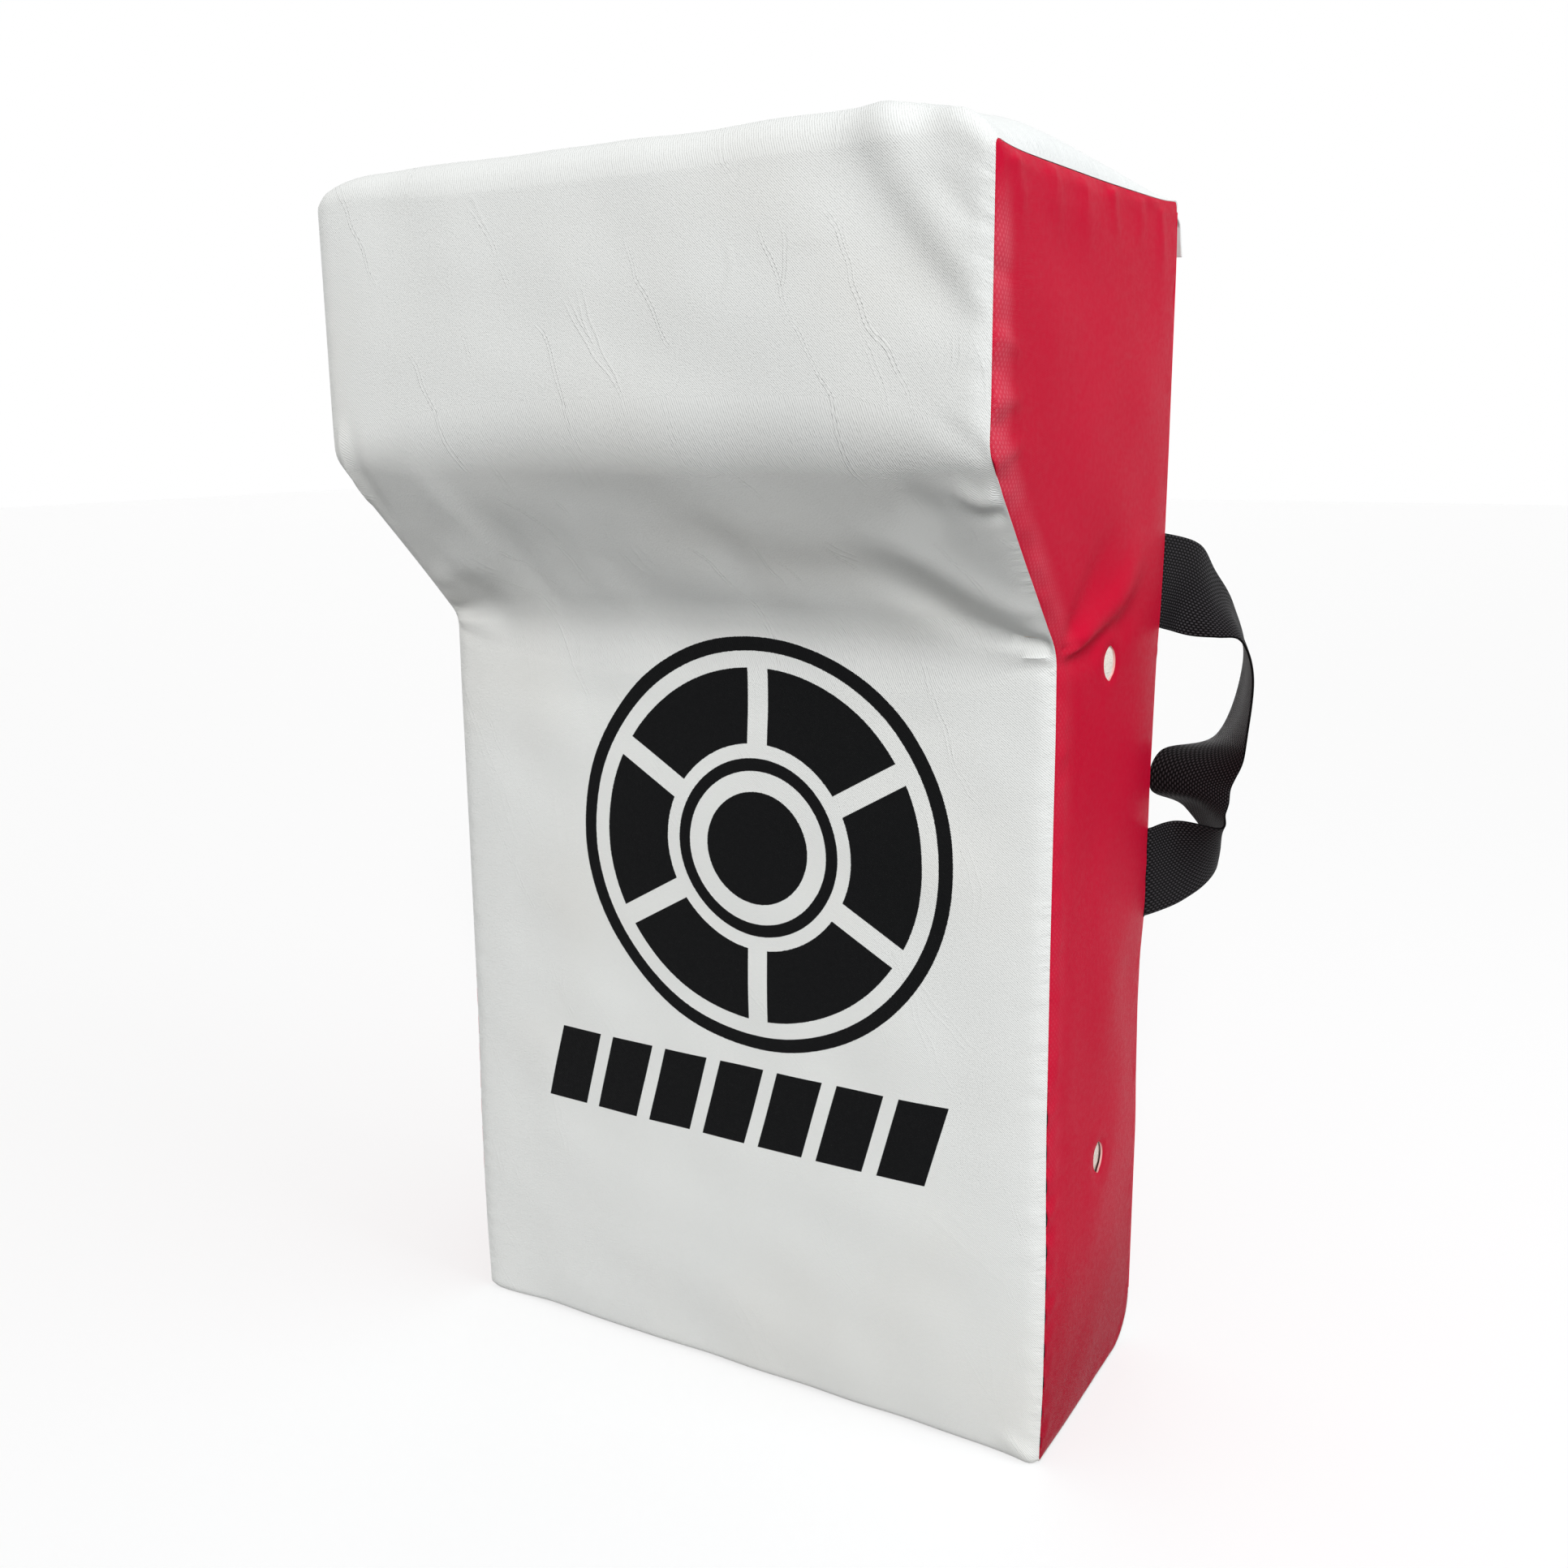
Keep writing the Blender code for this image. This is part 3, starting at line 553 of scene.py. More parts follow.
def cubicWeights(fine, coarse):  # smooth weights from evenly spaced places to any places
    place = (fine - coarse[0]) / (coarse[1] - coarse[0])
    base = np.clip(np.floor(place).astype(int), 0, len(coarse) - 2)
    t = place - base
    weights = np.zeros((len(fine), len(coarse)))
    for offset, weight in (
        (-1, -0.5 * t + t ** 2 - 0.5 * t ** 3), (0, 1 - 2.5 * t ** 2 + 1.5 * t ** 3),
        (1, 0.5 * t + 2 * t ** 2 - 1.5 * t ** 3), (2, -0.5 * t ** 2 + 0.5 * t ** 3),
    ):
        np.add.at(weights, (np.arange(len(fine)), np.clip(base + offset, 0, len(coarse) - 1)), weight)
    return weights


# Making sheets

def calmed(shift, rounds=6):  # spreads the moves over their neighbours, so that no small lumps stay
    for moment in range(rounds):
        padded = np.pad(shift, ((1, 1), (1, 1), (0, 0)), mode="edge")
        shift = (padded[:-2, 1:-1] + padded[2:, 1:-1] + padded[1:-1, :-2] + padded[1:-1, 2:] + 2 * shift) / 6
    return shift


def readPlaces(corners, kind="co"):
    values = np.empty(len(corners) * 3, np.float32)
    corners.foreach_get(kind, values)
    return values.reshape(-1, 3)


def writePlaces(mesh, places):
    mesh.vertices.foreach_set("co", places.astype(np.float32).ravel())


def newGrid(name, points, cut):  # a grid primitive whose corners take the given places
    rows, columns = points.shape[:2]
    bpy.ops.object.select_all(action="DESELECT")
    bpy.ops.mesh.primitive_grid_add(x_subdivisions=columns - 1, y_subdivisions=rows - 1, size=1.0)
    item = bpy.context.object
    item.name = name
    mesh = item.data
    flat = readPlaces(mesh.vertices)
    column = np.rint((flat[:, 0] + 0.5) * (columns - 1)).astype(int)
    row = np.rint((flat[:, 1] + 0.5) * (rows - 1)).astype(int)
    writePlaces(mesh, points[row, column])
    corner = np.empty(len(mesh.loops), np.int32)
    mesh.loops.foreach_get("vertex_index", corner)
    layer = mesh.uv_layers[0]
    layer.name = "cut"
    layer.uv.foreach_set("vector", cut[row[corner], column[corner]].astype(np.float32).ravel())
    mesh.update()
    return item, row, column


def markSeam(item, fromSeam):  # keeps each corner's distance to the seam for the material
    layer = item.data.attributes.new("fromSeam", "FLOAT", "POINT")
    layer.data.foreach_set("value", np.asarray(fromSeam, np.float32))


def selectOnly(item):
    bpy.ops.object.select_all(action="DESELECT")
    item.select_set(True)
    bpy.context.view_layer.objects.active = item


def applyModifiers(item):
    selectOnly(item)
    for modifier in list(item.modifiers):
        bpy.ops.object.modifier_apply(modifier=modifier.name)


def thicken(item, material, thickness, offset=-1.0, rounding=0.0, sharp=False):
    modifier = item.modifiers.new("thickness", "SOLIDIFY")
    modifier.thickness = thickness
    modifier.offset = offset
    if rounding:
        modifier = item.modifiers.new("edges", "BEVEL")
        modifier.width = rounding
        modifier.segments = 2
        modifier.limit_method = "ANGLE"
        modifier.angle_limit = math.radians(50)
    applyModifiers(item)
    item.data.shade_smooth()
    if sharp:
        item.data.set_sharp_from_angle(angle=math.radians(50))
    item.data.materials.append(material)


def placePiece(item, bodyName, nodeName):
    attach(item, bodyName)
    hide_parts(nodeName)
    print(item.name, "made,", len(item.data.polygons), "faces")


def placeSheet(item, bodyName, nodeName, slotName, flat, held, restsOn, **more):
    placePiece(item, bodyName, nodeName)


# Cloth simulation of a panel, with the settings by their names in Blender

clothPull = {
    "quality": 6,
    "mass": 0.3,
    "tension_stiffness": 20,
    "compression_stiffness": 20,
    "shear_stiffness": 8,
    "bending_stiffness": 3.0,
    "air_damping": 2,
    "vertex_group_mass": "seam",
    "pin_stiffness": 1.0,
    "vertex_group_shrink": "slack",
    "shrink_min": 0.0,
    "shrink_max": -0.022,
    "use_pressure": True,
    "uniform_pressure_force": 3.0,
}
clothFrames = 20


def addWeights(item, name, weights, digits):
    group = item.vertex_groups.new(name=name)
    for value in np.unique(np.round(weights, digits)):
        members = np.nonzero(np.abs(weights - value) <= 0.5 * 10 ** -digits)[0].tolist()
        group.add(members, float(value), "REPLACE")


def clothPass(name, points, hold, slackMap, cap):  # simulates a panel and returns how far each point moved
    item, row, column = newGrid(name, points, np.zeros((*points.shape[:2], 2)))
    addWeights(item, "seam", hold[row, column], 2)
    addWeights(item, "slack", slackMap[row, column], 1)
    modifier = item.modifiers.new("cloth", "CLOTH")
    for key, value in clothPull.items():
        setattr(modifier.settings, key, value)
    modifier.settings.effector_weights.gravity = 0.0
    modifier.point_cache.frame_start = 1
    modifier.point_cache.frame_end = 30
    for moment in range(1, clothFrames + 1):
        bpy.context.scene.frame_set(moment)
    evaluated = item.evaluated_get(bpy.context.evaluated_depsgraph_get())
    result = np.zeros_like(points)
    result[row, column] = readPlaces(evaluated.data.vertices)
    bpy.data.objects.remove(item, do_unlink=True)
    bpy.context.scene.frame_set(1)
    shift = result - points
    size = np.linalg.norm(shift, axis=-1, keepdims=True)
    print(name, "simulated, largest move", round(float(size.max()) * 1000, 1), "mm")
    return shift * (np.tanh(size / cap) * cap / np.maximum(size, 1e-9))


def softMove(name, coarse, seeded, hold, slackMap, cap, share):  # how a coarse panel gives, without small lumps
    start = coarse + gridNormals(coarse) * seeded[..., None]
    shift = clothPass(name, start, hold, slackMap, cap) + (start - coarse)
    return calmed(shift) * (share + 0.25 * slackMap)[..., None]


def seamShape(fromSeam, puffDepth, depth=0.0009):  # cloth puffs up beside a seam and dips into it
    puff = puffDepth * smooth(fromSeam / 0.010) * (1 - smooth((fromSeam - 0.010) / 0.050))
    return puff - depth * np.clip(1 - fromSeam / 0.005, 0.0, 1.0) ** 2


# Front cover strip: up the front, round the head and over the top

frontCover = {
    "step": 0.0030,
    "columnStep": 0.0050,
    "puffDepth": 0.0016,
    "cap": 0.0045,
    "folds": [  # paths as x and height
        # the pull from the top right corner
        ((164, 786, 172, 768, 185, 752, 198, 738), 11, 11, -3.4, 0.3, 0.5),
        ((190, 785, 196, 766, 206, 750), 7, 6, 1.6, 0.2, 0.5),
        ((150, 775, 160, 755, 172, 737), 12, 10, 2, 0.3, 0.5),
        ((118, 768, 136, 744, 158, 720, 180, 697, 199, 678, 214, 662), 18, 9.5, -4, 0.35, 0.25, 0.8, 1.6),
        ((140, 768, 158, 744, 178, 720, 198, 700, 214, 684), 16, 10, 1.4, 0.35, 0.3),
        ((184, 735, 200, 722, 212, 715), 6, 5, -1.2, 0.4, 0.3),
        # dents and puckers of the slope, on the right
        ((156, 598, 172, 588, 192, 581), 13, 10, -2.8, 0.4, 0.4),
        ((192, 604, 204, 594, 216.5, 596), 5, 4.5, 3.2, 0.4, 0.05),
        ((196, 586, 216.5, 586), 5, 3.5, -2.2, 0.5, 0.05),
        ((185, 633, 216.5, 616), 6, 5, -1.6, 0.5, 0.05),
        # the pinch at the right end of the crease
        ((85, 558, 120, 551, 145, 538, 169, 522, 190, 514, 216, 508), 18, 3.2, -5.8, 0.55, 0, 1.5, 1),
        ((110, 577, 150, 562, 190, 540, 216.5, 525), 16, 7, 2.8, 0.5, 0.15),
        ((172, 511, 194, 505, 216, 502), 6, 2.4, 2.2, 0.5, 0.05),
        ((180, 499, 216, 497), 3.8, 2.4, -1.4, 0.5, 0.05),
        # the pinch at the left end
        ((-150, 522, -180, 514, -216.5, 509), 13, 3.5, -3.4, 0.5, 0, 1, 1.3),
        ((-165, 494, -190, 499, -216.5, 503), 6, 3.5, 2.2, 0.5, 0.05),
        ((-140, 560, -180, 542, -212, 530), 14, 7, 3, 0.5, 0.2),
        ((-205, 640, -208, 616, -211.5, 598, -215.5, 582), 3.4, 3, 2.6, 0.3, 0.2),
        ((-198, 640, -201, 612, -205, 588, -211, 565), 5, 4.5, -2.2, 0.3, 0.3),
        ((-168, 612, -146, 580, -150, 552, -176, 522), 14, 10, 4, 0.35, 0.3, 1, 2.2),
        # soft pulls across the slope
        ((-105, 580, -120, 545, -108, 505), 12, 10, -1.8, 0.4, 0.4),
        ((-50, 590, -66, 550, -52, 510), 14, 10, 1.4, 0.4, 0.4),
        ((20, 585, 40, 550, 28, 515), 15, 10, -1.4, 0.4, 0.4),
        ((190, 18, 205, 8, 216.5, 2), 6, 4, 2, 0.4, 0.05),
    ],
}


def frontPlaces(x, length):  # the swelled strip without its folds
    runs = [np.stack([np.interp(length, frontLength, run[:, k]) for k in range(2)], axis=1)
            for run in (frontRun, softRun)]
    flatX = np.meshgrid(x, length)[0]
    soft = bump(flatX / body["halfWidth"], 5)[..., None] ** 1.3
    mixed = runs[0][:, None, :] * (1 - soft) + runs[1][:, None, :] * soft
    flatY, flatZ = mixed[..., 0], mixed[..., 1]
    return flatX, flatY, flatZ, swell(flatX, flatY, flatZ)


def buildFrontCover():
    width = 2 * body["halfWidth"]
    total = frontLength[-1]
    x = graded(width, 0.0010, frontCover["columnStep"]) - body["halfWidth"]
    length = graded(total, 0.0012, frontCover["step"])
    flatX, flatY, flatZ, points = frontPlaces(x, length)
    normals = gridNormals(points)
    fromSeam = body["halfWidth"] - np.abs(flatX)
    onTop = smooth((flatY - body["headFront"] - 0.004) / 0.02) * (flatZ > 0.70)
    relief = folds(flatX, np.where(onTop > 0.5, 9.0, flatZ), frontCover["folds"]) * (1 - onTop)
    lengths = np.meshgrid(x, length)[1]
    relief += waves(flatX, lengths, 11, 0.095, 0.00055) * smooth(fromSeam / 0.06)
    gather = waves(flatX * 0.2, lengths, 12, 0.017, 0.00032) * np.exp(-(fromSeam / 0.011) ** 2)
    relief = (relief + gather) * smooth(fromSeam / 0.005)
    coarseX = np.linspace(x[0], x[-1], 74)
    coarseLength = np.linspace(0.0, total, 178)
    gridX, gridY, gridZ, coarse = frontPlaces(coarseX, coarseLength)
    edge = body["halfWidth"] - np.abs(gridX)
    hold = np.where(edge < 0.003, 1.0, 0.42)
    hold[0], hold[-1] = 1.0, 1.0
    nearCrease = np.exp(-((gridZ - body["crease"]) / 0.05) ** 2)
    nearCorner = np.exp(-(((gridX - 0.19) / 0.06) ** 2 + ((gridZ - 0.72) / 0.08) ** 2))
    slackMap = np.clip(nearCrease + nearCorner, 0.0, 1.0)
    seeded = waves(gridX, np.meshgrid(coarseX, coarseLength)[1], 21, 0.035, 0.0002) * smooth(edge / 0.01)
    shift = softMove("frontClothPass", coarse, seeded, hold, slackMap, frontCover["cap"], 0.45)
    rows, columns = cubicWeights(length, coarseLength), cubicWeights(x, coarseX)
    points = points + np.einsum("ri,ijk,cj->rck", rows, shift, columns) * smooth(fromSeam / 0.016)[..., None]
    points = points + normals * (relief + seamShape(fromSeam, frontCover["puffDepth"] * (1 - onTop)))[..., None]
    item = newGrid("frontCover", points, np.stack([flatX + body["halfWidth"], lengths], axis=-1))[0]
    thicken(item, whiteCover("whiteLeatherette", width, printed=True), body["cloth"], sharp=True)
    placeSheet(item, "cover_and_core", "front_panel", "white_leatherette", (width, total), "stretched",
               ["foam_core", "foam_head_wedge", "foam_backer"])


buildFrontCover()


# Side panels with their vent holes

sidePanel = {
    "inset": 0.0011,
    "rowStep": 0.0032,
    "fineStep": 0.0018,
    "fineHalf": 0.0216,
    "ventRadius": 0.0094,
    "ventPoint": 0.12,  # the hole is drawn to a point above and below
    "ventNarrow": 0.90,
    "vents": ((-0.0165, 0.4906), (-0.0098, 0.1749)),
    "fineGrid": (25, 32, 24, 1.6),  # columns round the vents, cells to the front and to the rear, crowding
    "coarseGrid": (9, 16, 10, 1.0),
    "puffDepth": 0.0016,
    "cap": 0.004,
    "area": 0.148,
    "flatDepth": 0.275,
    "cutEdge": (0.78, 0.42, 0.40),
    "folds": [  # paths as depth and height
        # the fold that runs up from the crease's corner
        ((-84, 503, -56, 513, -16, 526, 18, 546, 40, 572), 5, 17, 4.6, 0.08, 0.5),
        ((-86, 510, -62, 531, -34, 554, -4, 590), 6, 18, -1.8, 0.15, 0.6),
        ((-84, 500, -50, 500, -10, 508, 24, 530, 44, 552), 5, 17, -2.4, 0.08, 0.6),
        ((-84, 506, -72, 509, -60, 509), 2.2, 2.2, -1.6, 0.05, 0.5),
        # puckers along the front seam of the head
        ((-187, 700, -172, 699, -165, 696), 4, 3, -1.2, 0.05, 0.6),
        ((-187, 671, -170, 668, -158, 660), 4.5, 4, 1.8, 0.05, 0.5),
        ((-187, 656, -172, 655), 3.5, 3, -1.4, 0.05, 0.6),
        ((-187, 640, -170, 643, -155, 640), 4.5, 4, 2.2, 0.05, 0.5),
        ((-187, 629, -172, 631), 3.5, 3, -1.6, 0.05, 0.5),
        ((-185, 610, -172, 618, -150, 622), 5, 4, 2, 0.05, 0.5),
        ((-178, 602, -160, 606), 3.5, 3, -1.4, 0.05, 0.6),
        # gathers hanging from the top seam
        ((-168, 756, -160, 735, -154, 712), 6, 7, 1.4, 0.06, 0.7),
        ((-120, 757, -112, 737, -104, 712), 7, 8, 1.4, 0.06, 0.7),
        ((-76, 757, -70, 737, -68, 712), 7, 7, 1.6, 0.06, 0.7),
        ((-30, 757, -26, 740, -20, 720), 6, 7, 1.2, 0.06, 0.7),
        ((18, 757, 18, 740, 14, 722), 7, 6, 1.2, 0.06, 0.7),
        ((52, 755, 55, 735, 58, 705), 6, 7, 1.2, 0.06, 0.7),
    ],
}


def fromOutline(y, z):  # distance to the side outline
    best = np.full(np.shape(y), 1e9)
    for point in outlineRun[::2]:
        best = np.minimum(best, np.hypot(y - point[0], z - point[1]))
    return best


def fromVents(y, z):  # distance to the middle of the nearer vent
    return np.minimum(*[np.hypot(y - depth, z - height) for depth, height in sidePanel["vents"]])


def sideColumns(middleCount, frontCells, rearCells, crowding):  # offsets round the vents, shares towards the seams
    middle = np.linspace(-sidePanel["fineHalf"], sidePanel["fineHalf"], middleCount)
    return middle, *[1 - (1 - np.linspace(0.0, 1.0, cells + 1)[1:]) ** crowding for cells in (frontCells, rearCells)]


def columnNumbers(middle, frontShares, rearShares):
    return np.concatenate([-frontShares[::-1] - 1, middle / sidePanel["fineHalf"], rearShares + 1])


def sideRows():  # heights of the rows, some of them on the vents' upper and lower edges
    low = sidePanel["inset"]
    top = body["height"] - low
    rows = [low]
    while rows[-1] < top:
        here = rows[-1]
        step = min(sidePanel["rowStep"], 0.0005 + 0.18 * min(here, top - here))
        if min(abs(here - height) for depth, height in sidePanel["vents"]) < 0.026:
            step = min(step, sidePanel["fineStep"])
        rows.append(here + step)
    rows = low + (np.array(rows) - low) * (top - low) / (rows[-1] - low)
    for depth, height in sidePanel["vents"]:
        for wanted in (height - sidePanel["ventRadius"], height + sidePanel["ventRadius"]):
            rows[int(np.argmin(np.abs(rows - wanted)))] = wanted
    return rows


def sidePlaces(heights, middle, frontShares, rearShares):
    inset, fine = sidePanel["inset"], middle[-1]

    def roundedBy(radius, into):  # how far a rounding has turned in, this far into it
        return radius * (1 - np.sqrt(1 - np.clip(into / radius, 0.0, 1.0) ** 2))

    front = (frontDepth(np.clip(heights, 0.0, body["height"])) + inset)[:, None]
    rear = body["rear"] - inset - roundedBy(body["rearFoot"], body["rearFoot"] - heights)
    rear = (rear - roundedBy(body["topRound"], heights - (body["height"] - body["topRound"])))[:, None]
    (upperDepth, upperHeight), (lowerDepth, lowerHeight) = sidePanel["vents"]
    line = np.interp(heights, (lowerHeight, upperHeight), (lowerDepth, upperDepth))[:, None]
    frontPart = line - fine - (line - fine - front) * frontShares
    rearPart = line + fine + (rear - line - fine) * rearShares
    y = np.concatenate([frontPart[:, ::-1], line + middle, rearPart], axis=1)
    return y, np.repeat(heights[:, None], y.shape[1], axis=1)


def roundVents(y, z):  # pulls the grid round each vent into a circle and marks what is inside
    inside = np.zeros(y.shape, bool)
    radius = sidePanel["ventRadius"]
    for depth, height in sidePanel["vents"]:
        dy, dz = y - depth, z - height
        square = np.maximum(np.abs(dy), np.abs(dz))
        pull = 1 - smooth((square - radius) / radius)
        factor = 1 + (square / np.maximum(np.hypot(dy, dz), 1e-9) - 1) * pull
        inside |= square < radius - 0.0004
        point = 1 + sidePanel["ventPoint"] * np.exp(-(dy / 0.0030) ** 2) * pull * np.clip(np.abs(dz) / radius, 0, 1)
        y = depth + dy * factor * (1 - (1 - sidePanel["ventNarrow"]) * pull)
        z = height + dz * factor * point
    return y, z, inside


def buildSidePanel(name, side, nodeName, seed):
    columns = sideColumns(*sidePanel["fineGrid"])
    middle, frontShares, none = columns
    rows = sideRows()
    y, z = sidePlaces(rows, *columns)
    for depth, height in sidePanel["vents"]:  # columns meet the vents' front and rear edges
        near = np.exp(-((rows - height) / 0.03) ** 4)
        for wanted in (-sidePanel["ventRadius"], sidePanel["ventRadius"]):
            nearest = int(np.argmin(np.abs(middle - wanted)))
            y[:, len(frontShares) + nearest] += (wanted - middle[nearest]) * near
    y, z, inside = roundVents(y, z)
    fromSeam = fromOutline(y, z)
    points = swell(np.full(y.shape, side * body["halfWidth"]), y, z)
    if side < 0:
        points, y, z, inside, fromSeam = [value[:, ::-1] for value in (points, y, z, inside, fromSeam)]
    normals = gridNormals(points)
    listed = sidePanel["folds"] if side > 0 else sidePanel["folds"][:6]
    around = fromVents(y, z)
    relief = folds(y, z, listed) + waves(y, z, seed, 0.095, 0.00050) * smooth(fromSeam / 0.05)
    relief = relief * smooth((around - 0.012) / 0.015)
    relief -= 0.0008 * np.exp(-((around - sidePanel["ventRadius"]) / 0.0025) ** 2)
    gather = waves(z, y, seed + 1, 0.022, 0.00030) * np.exp(-((fromSeam - 0.006) / 0.008) ** 2)
    relief += gather * smooth(fromSeam / 0.005)
    if side < 0:  # the far panel stays behind the front's edge
        relief = relief * smooth(fromSeam / 0.05)
    coarseRows = np.linspace(rows[0], rows[-1], 128)
    coarseColumns = sideColumns(*sidePanel["coarseGrid"])
    coarseY, coarseZ = sidePlaces(coarseRows, *coarseColumns)
    coarse = swell(np.full(coarseY.shape, body["halfWidth"]), coarseY, coarseZ)
    edge = fromOutline(coarseY, coarseZ)
    hold = np.where(edge < 0.004, 1.0, 0.42)
    hold[0], hold[-1], hold[:, 0], hold[:, -1] = 1.0, 1.0, 1.0, 1.0
    slackMap = np.exp(-(np.hypot(coarseY + 0.08, coarseZ - 0.51) / 0.07) ** 2)
    seeded = waves(coarseY, coarseZ, seed + 2, 0.035, 0.0002) * smooth(edge / 0.01)
    shift = softMove(name + "ClothPass", coarse, seeded, hold, slackMap, sidePanel["cap"], 0.35)
    shift[..., 0] *= side
    coarseNumbers = columnNumbers(*coarseColumns)
    evenNumbers = np.linspace(0.0, 1.0, len(coarseNumbers))
    across = cubicWeights(np.interp(columnNumbers(*columns), coarseNumbers, evenNumbers), evenNumbers)
    moved = np.einsum("ri,ijk,cj->rck", cubicWeights(rows, coarseRows), shift, across)[:, ::side]
    points = points + moved * (smooth((around - 0.008) / 0.035) * smooth(fromSeam / 0.022))[..., None]
    puffDepth = sidePanel["puffDepth"] * smooth((0.02 - y) / 0.08) * (side > 0)
    points = points + normals * (relief + seamShape(fromSeam, puffDepth))[..., None]
    item, row, column = newGrid(name, points, np.stack([y + 0.20, z], axis=-1))
    markSeam(item, fromSeam[row, column])
    punch = bmesh.new()
    punch.from_mesh(item.data)
    punch.verts.ensure_lookup_table()
    gone = [punch.verts[index] for index in np.nonzero(inside[row, column])[0]]
    bmesh.ops.delete(punch, geom=gone, context="VERTS")
    punch.to_mesh(item.data)
    punch.free()
    thicken(item, redSideCloth, body["cloth"], sharp=True)
    item.data.materials.append(cutEdge)
    for face in item.data.polygons:  # the punched rims show the base cloth
        if abs(face.normal.x) < 0.6 and fromVents(*face.center.yz) < sidePanel["ventRadius"] + 0.0015:
            face.material_index = 1
    placeSheet(item, "cover_and_core", nodeName, "red_coated_cloth",
               (sidePanel["flatDepth"], body["height"] - 2 * sidePanel["inset"]), "stretched",
               ["foam_core", "foam_head_wedge", "foam_backer"], area=sidePanel["area"])


def baseCloth(name, colour):
    material = newMaterial(name)
    grain = cloudy(objectPlace(), 2600.0, 3.0)
    dress(blend(ramp(grain, 0.3, 0.7, 0.0, 0.35), colour, toned(colour, 0.72)), 0.8, raised((grain, 0.0002, 0.6)))
    return material


redSideCloth = redCover("redCoatedCloth", sided=True)
cutEdge = baseCloth("cutEdge", sidePanel["cutEdge"])
buildSidePanel("rightSidePanel", 1, "right_side_panel", 31)
buildSidePanel("leftSidePanel", -1, "left_side_panel", 41)


# Back and bottom panels

backPanel = {
    "low": 0.0343,
    "high": 0.7517,
    "step": 0.006,
    "puffDepth": 0.0008,
    "anchorHeights": (0.530, 0.337),
    "anchorHalf": 0.024,
    "anchorSpan": (0.008, 0.040),
    "flatMiddle": 0.024,  # where the cloth is drawn flat, from the side
    "flatReach": (0.030, 0.038),
}


def gathers(a, b, seed, pitch, edge):
    return waves(a, b, seed, pitch, 0.0004) * np.exp(-(edge / 0.012) ** 2) * smooth(edge / 0.003)


def buildBackPanel():
    low, high, width = backPanel["low"], backPanel["high"], 2 * body["halfWidth"]
    x = -(graded(width, 0.0012, backPanel["step"]) - body["halfWidth"])
    flatX, flatZ = np.meshgrid(x, graded(high - low, 0.0012, backPanel["step"]) + low)
    points = swell(flatX, np.full(flatX.shape, body["rear"]), flatZ)
    fromSide = body["halfWidth"] - np.abs(flatX)
    fromEnd = np.minimum(flatZ - low, high - flatZ)
    relief = waves(flatX, flatZ, 51, 0.10, 0.0005) * smooth(np.minimum(fromSide, fromEnd) / 0.04)
    relief += gathers(flatX * 0.15, flatZ, 52, 0.022, fromSide)
    relief += gathers(flatX, flatZ * 0.15, 53, 0.026, fromEnd)
    anchored = np.zeros(flatX.shape)  # the cloth is drawn flat where the webbing is sewn down
    reachIn, reachUp = backPanel["flatReach"]
    for height in backPanel["anchorHeights"]:
        away = ((fromSide - backPanel["flatMiddle"]) / reachIn) ** 4 + ((flatZ - height) / reachUp) ** 4
        anchored = np.maximum(anchored, np.exp(-away))
    relief = relief * (1 - anchored) + seamShape(fromSide, backPanel["puffDepth"] * (1 - anchored))
    points = points + gridNormals(points) * relief[..., None]
    item, row, column = newGrid("backPanel", points, np.stack([body["halfWidth"] - flatX, flatZ], axis=-1))
    markSeam(item, np.minimum(fromSide, fromEnd)[row, column])
    thicken(item, redCover("redBackCloth"), body["cloth"], sharp=True)
    placeSheet(item, "cover_and_core", "back_panel", "red_coated_cloth", (width, high - low), "stretched",
               ["foam_backer"])


def buildBottomPanel():
    width, total = 2 * body["halfWidth"], bottomLength[-1]
    x = graded(width, 0.0012, 0.006) - body["halfWidth"]
    length = graded(total, 0.0012, 0.005)
    y, z = [np.interp(length, bottomLength, bottomRun[:, k]) for k in range(2)]
    flatX, flatY = np.meshgrid(x, y)
    points = swell(flatX, flatY, np.meshgrid(x, z)[1])
    points = points + gridNormals(points) * seamShape(body["halfWidth"] - np.abs(flatX), 0.0)[..., None]
    cut = np.stack([flatX + body["halfWidth"], np.meshgrid(x, length)[1]], axis=-1)
    item = newGrid("bottomPanel", points, cut)[0]
    thicken(item, whiteCover("whiteBottomLeatherette", width), body["cloth"], sharp=True)
    placeSheet(item, "cover_and_core", "bottom_panel", "white_leatherette", (width, total), "stretched",
               ["foam_core", "foam_backer"])


buildBackPanel()
buildBottomPanel()


# Webbing

webbing = {
    "width": 0.060,
    "thickness": 0.0015,
    "rounding": 0.000525,
    "ribPitch": 0.0030,
    "rowPitch": 0.00187,
    "black": (0.0014, 0.0012, 0.0014),
    "sheen": (0.0760, 0.0710, 0.0770),
    "reach": (0.0435, 0.062, 0.0965),  # outwards, backwards and half the spacing of the anchors
    "axis": (0.2183, 0.0873, 0.4335),
    "tuck": 0.0012,
    "stepsPerStation": 14,
    "columns": 17,
}

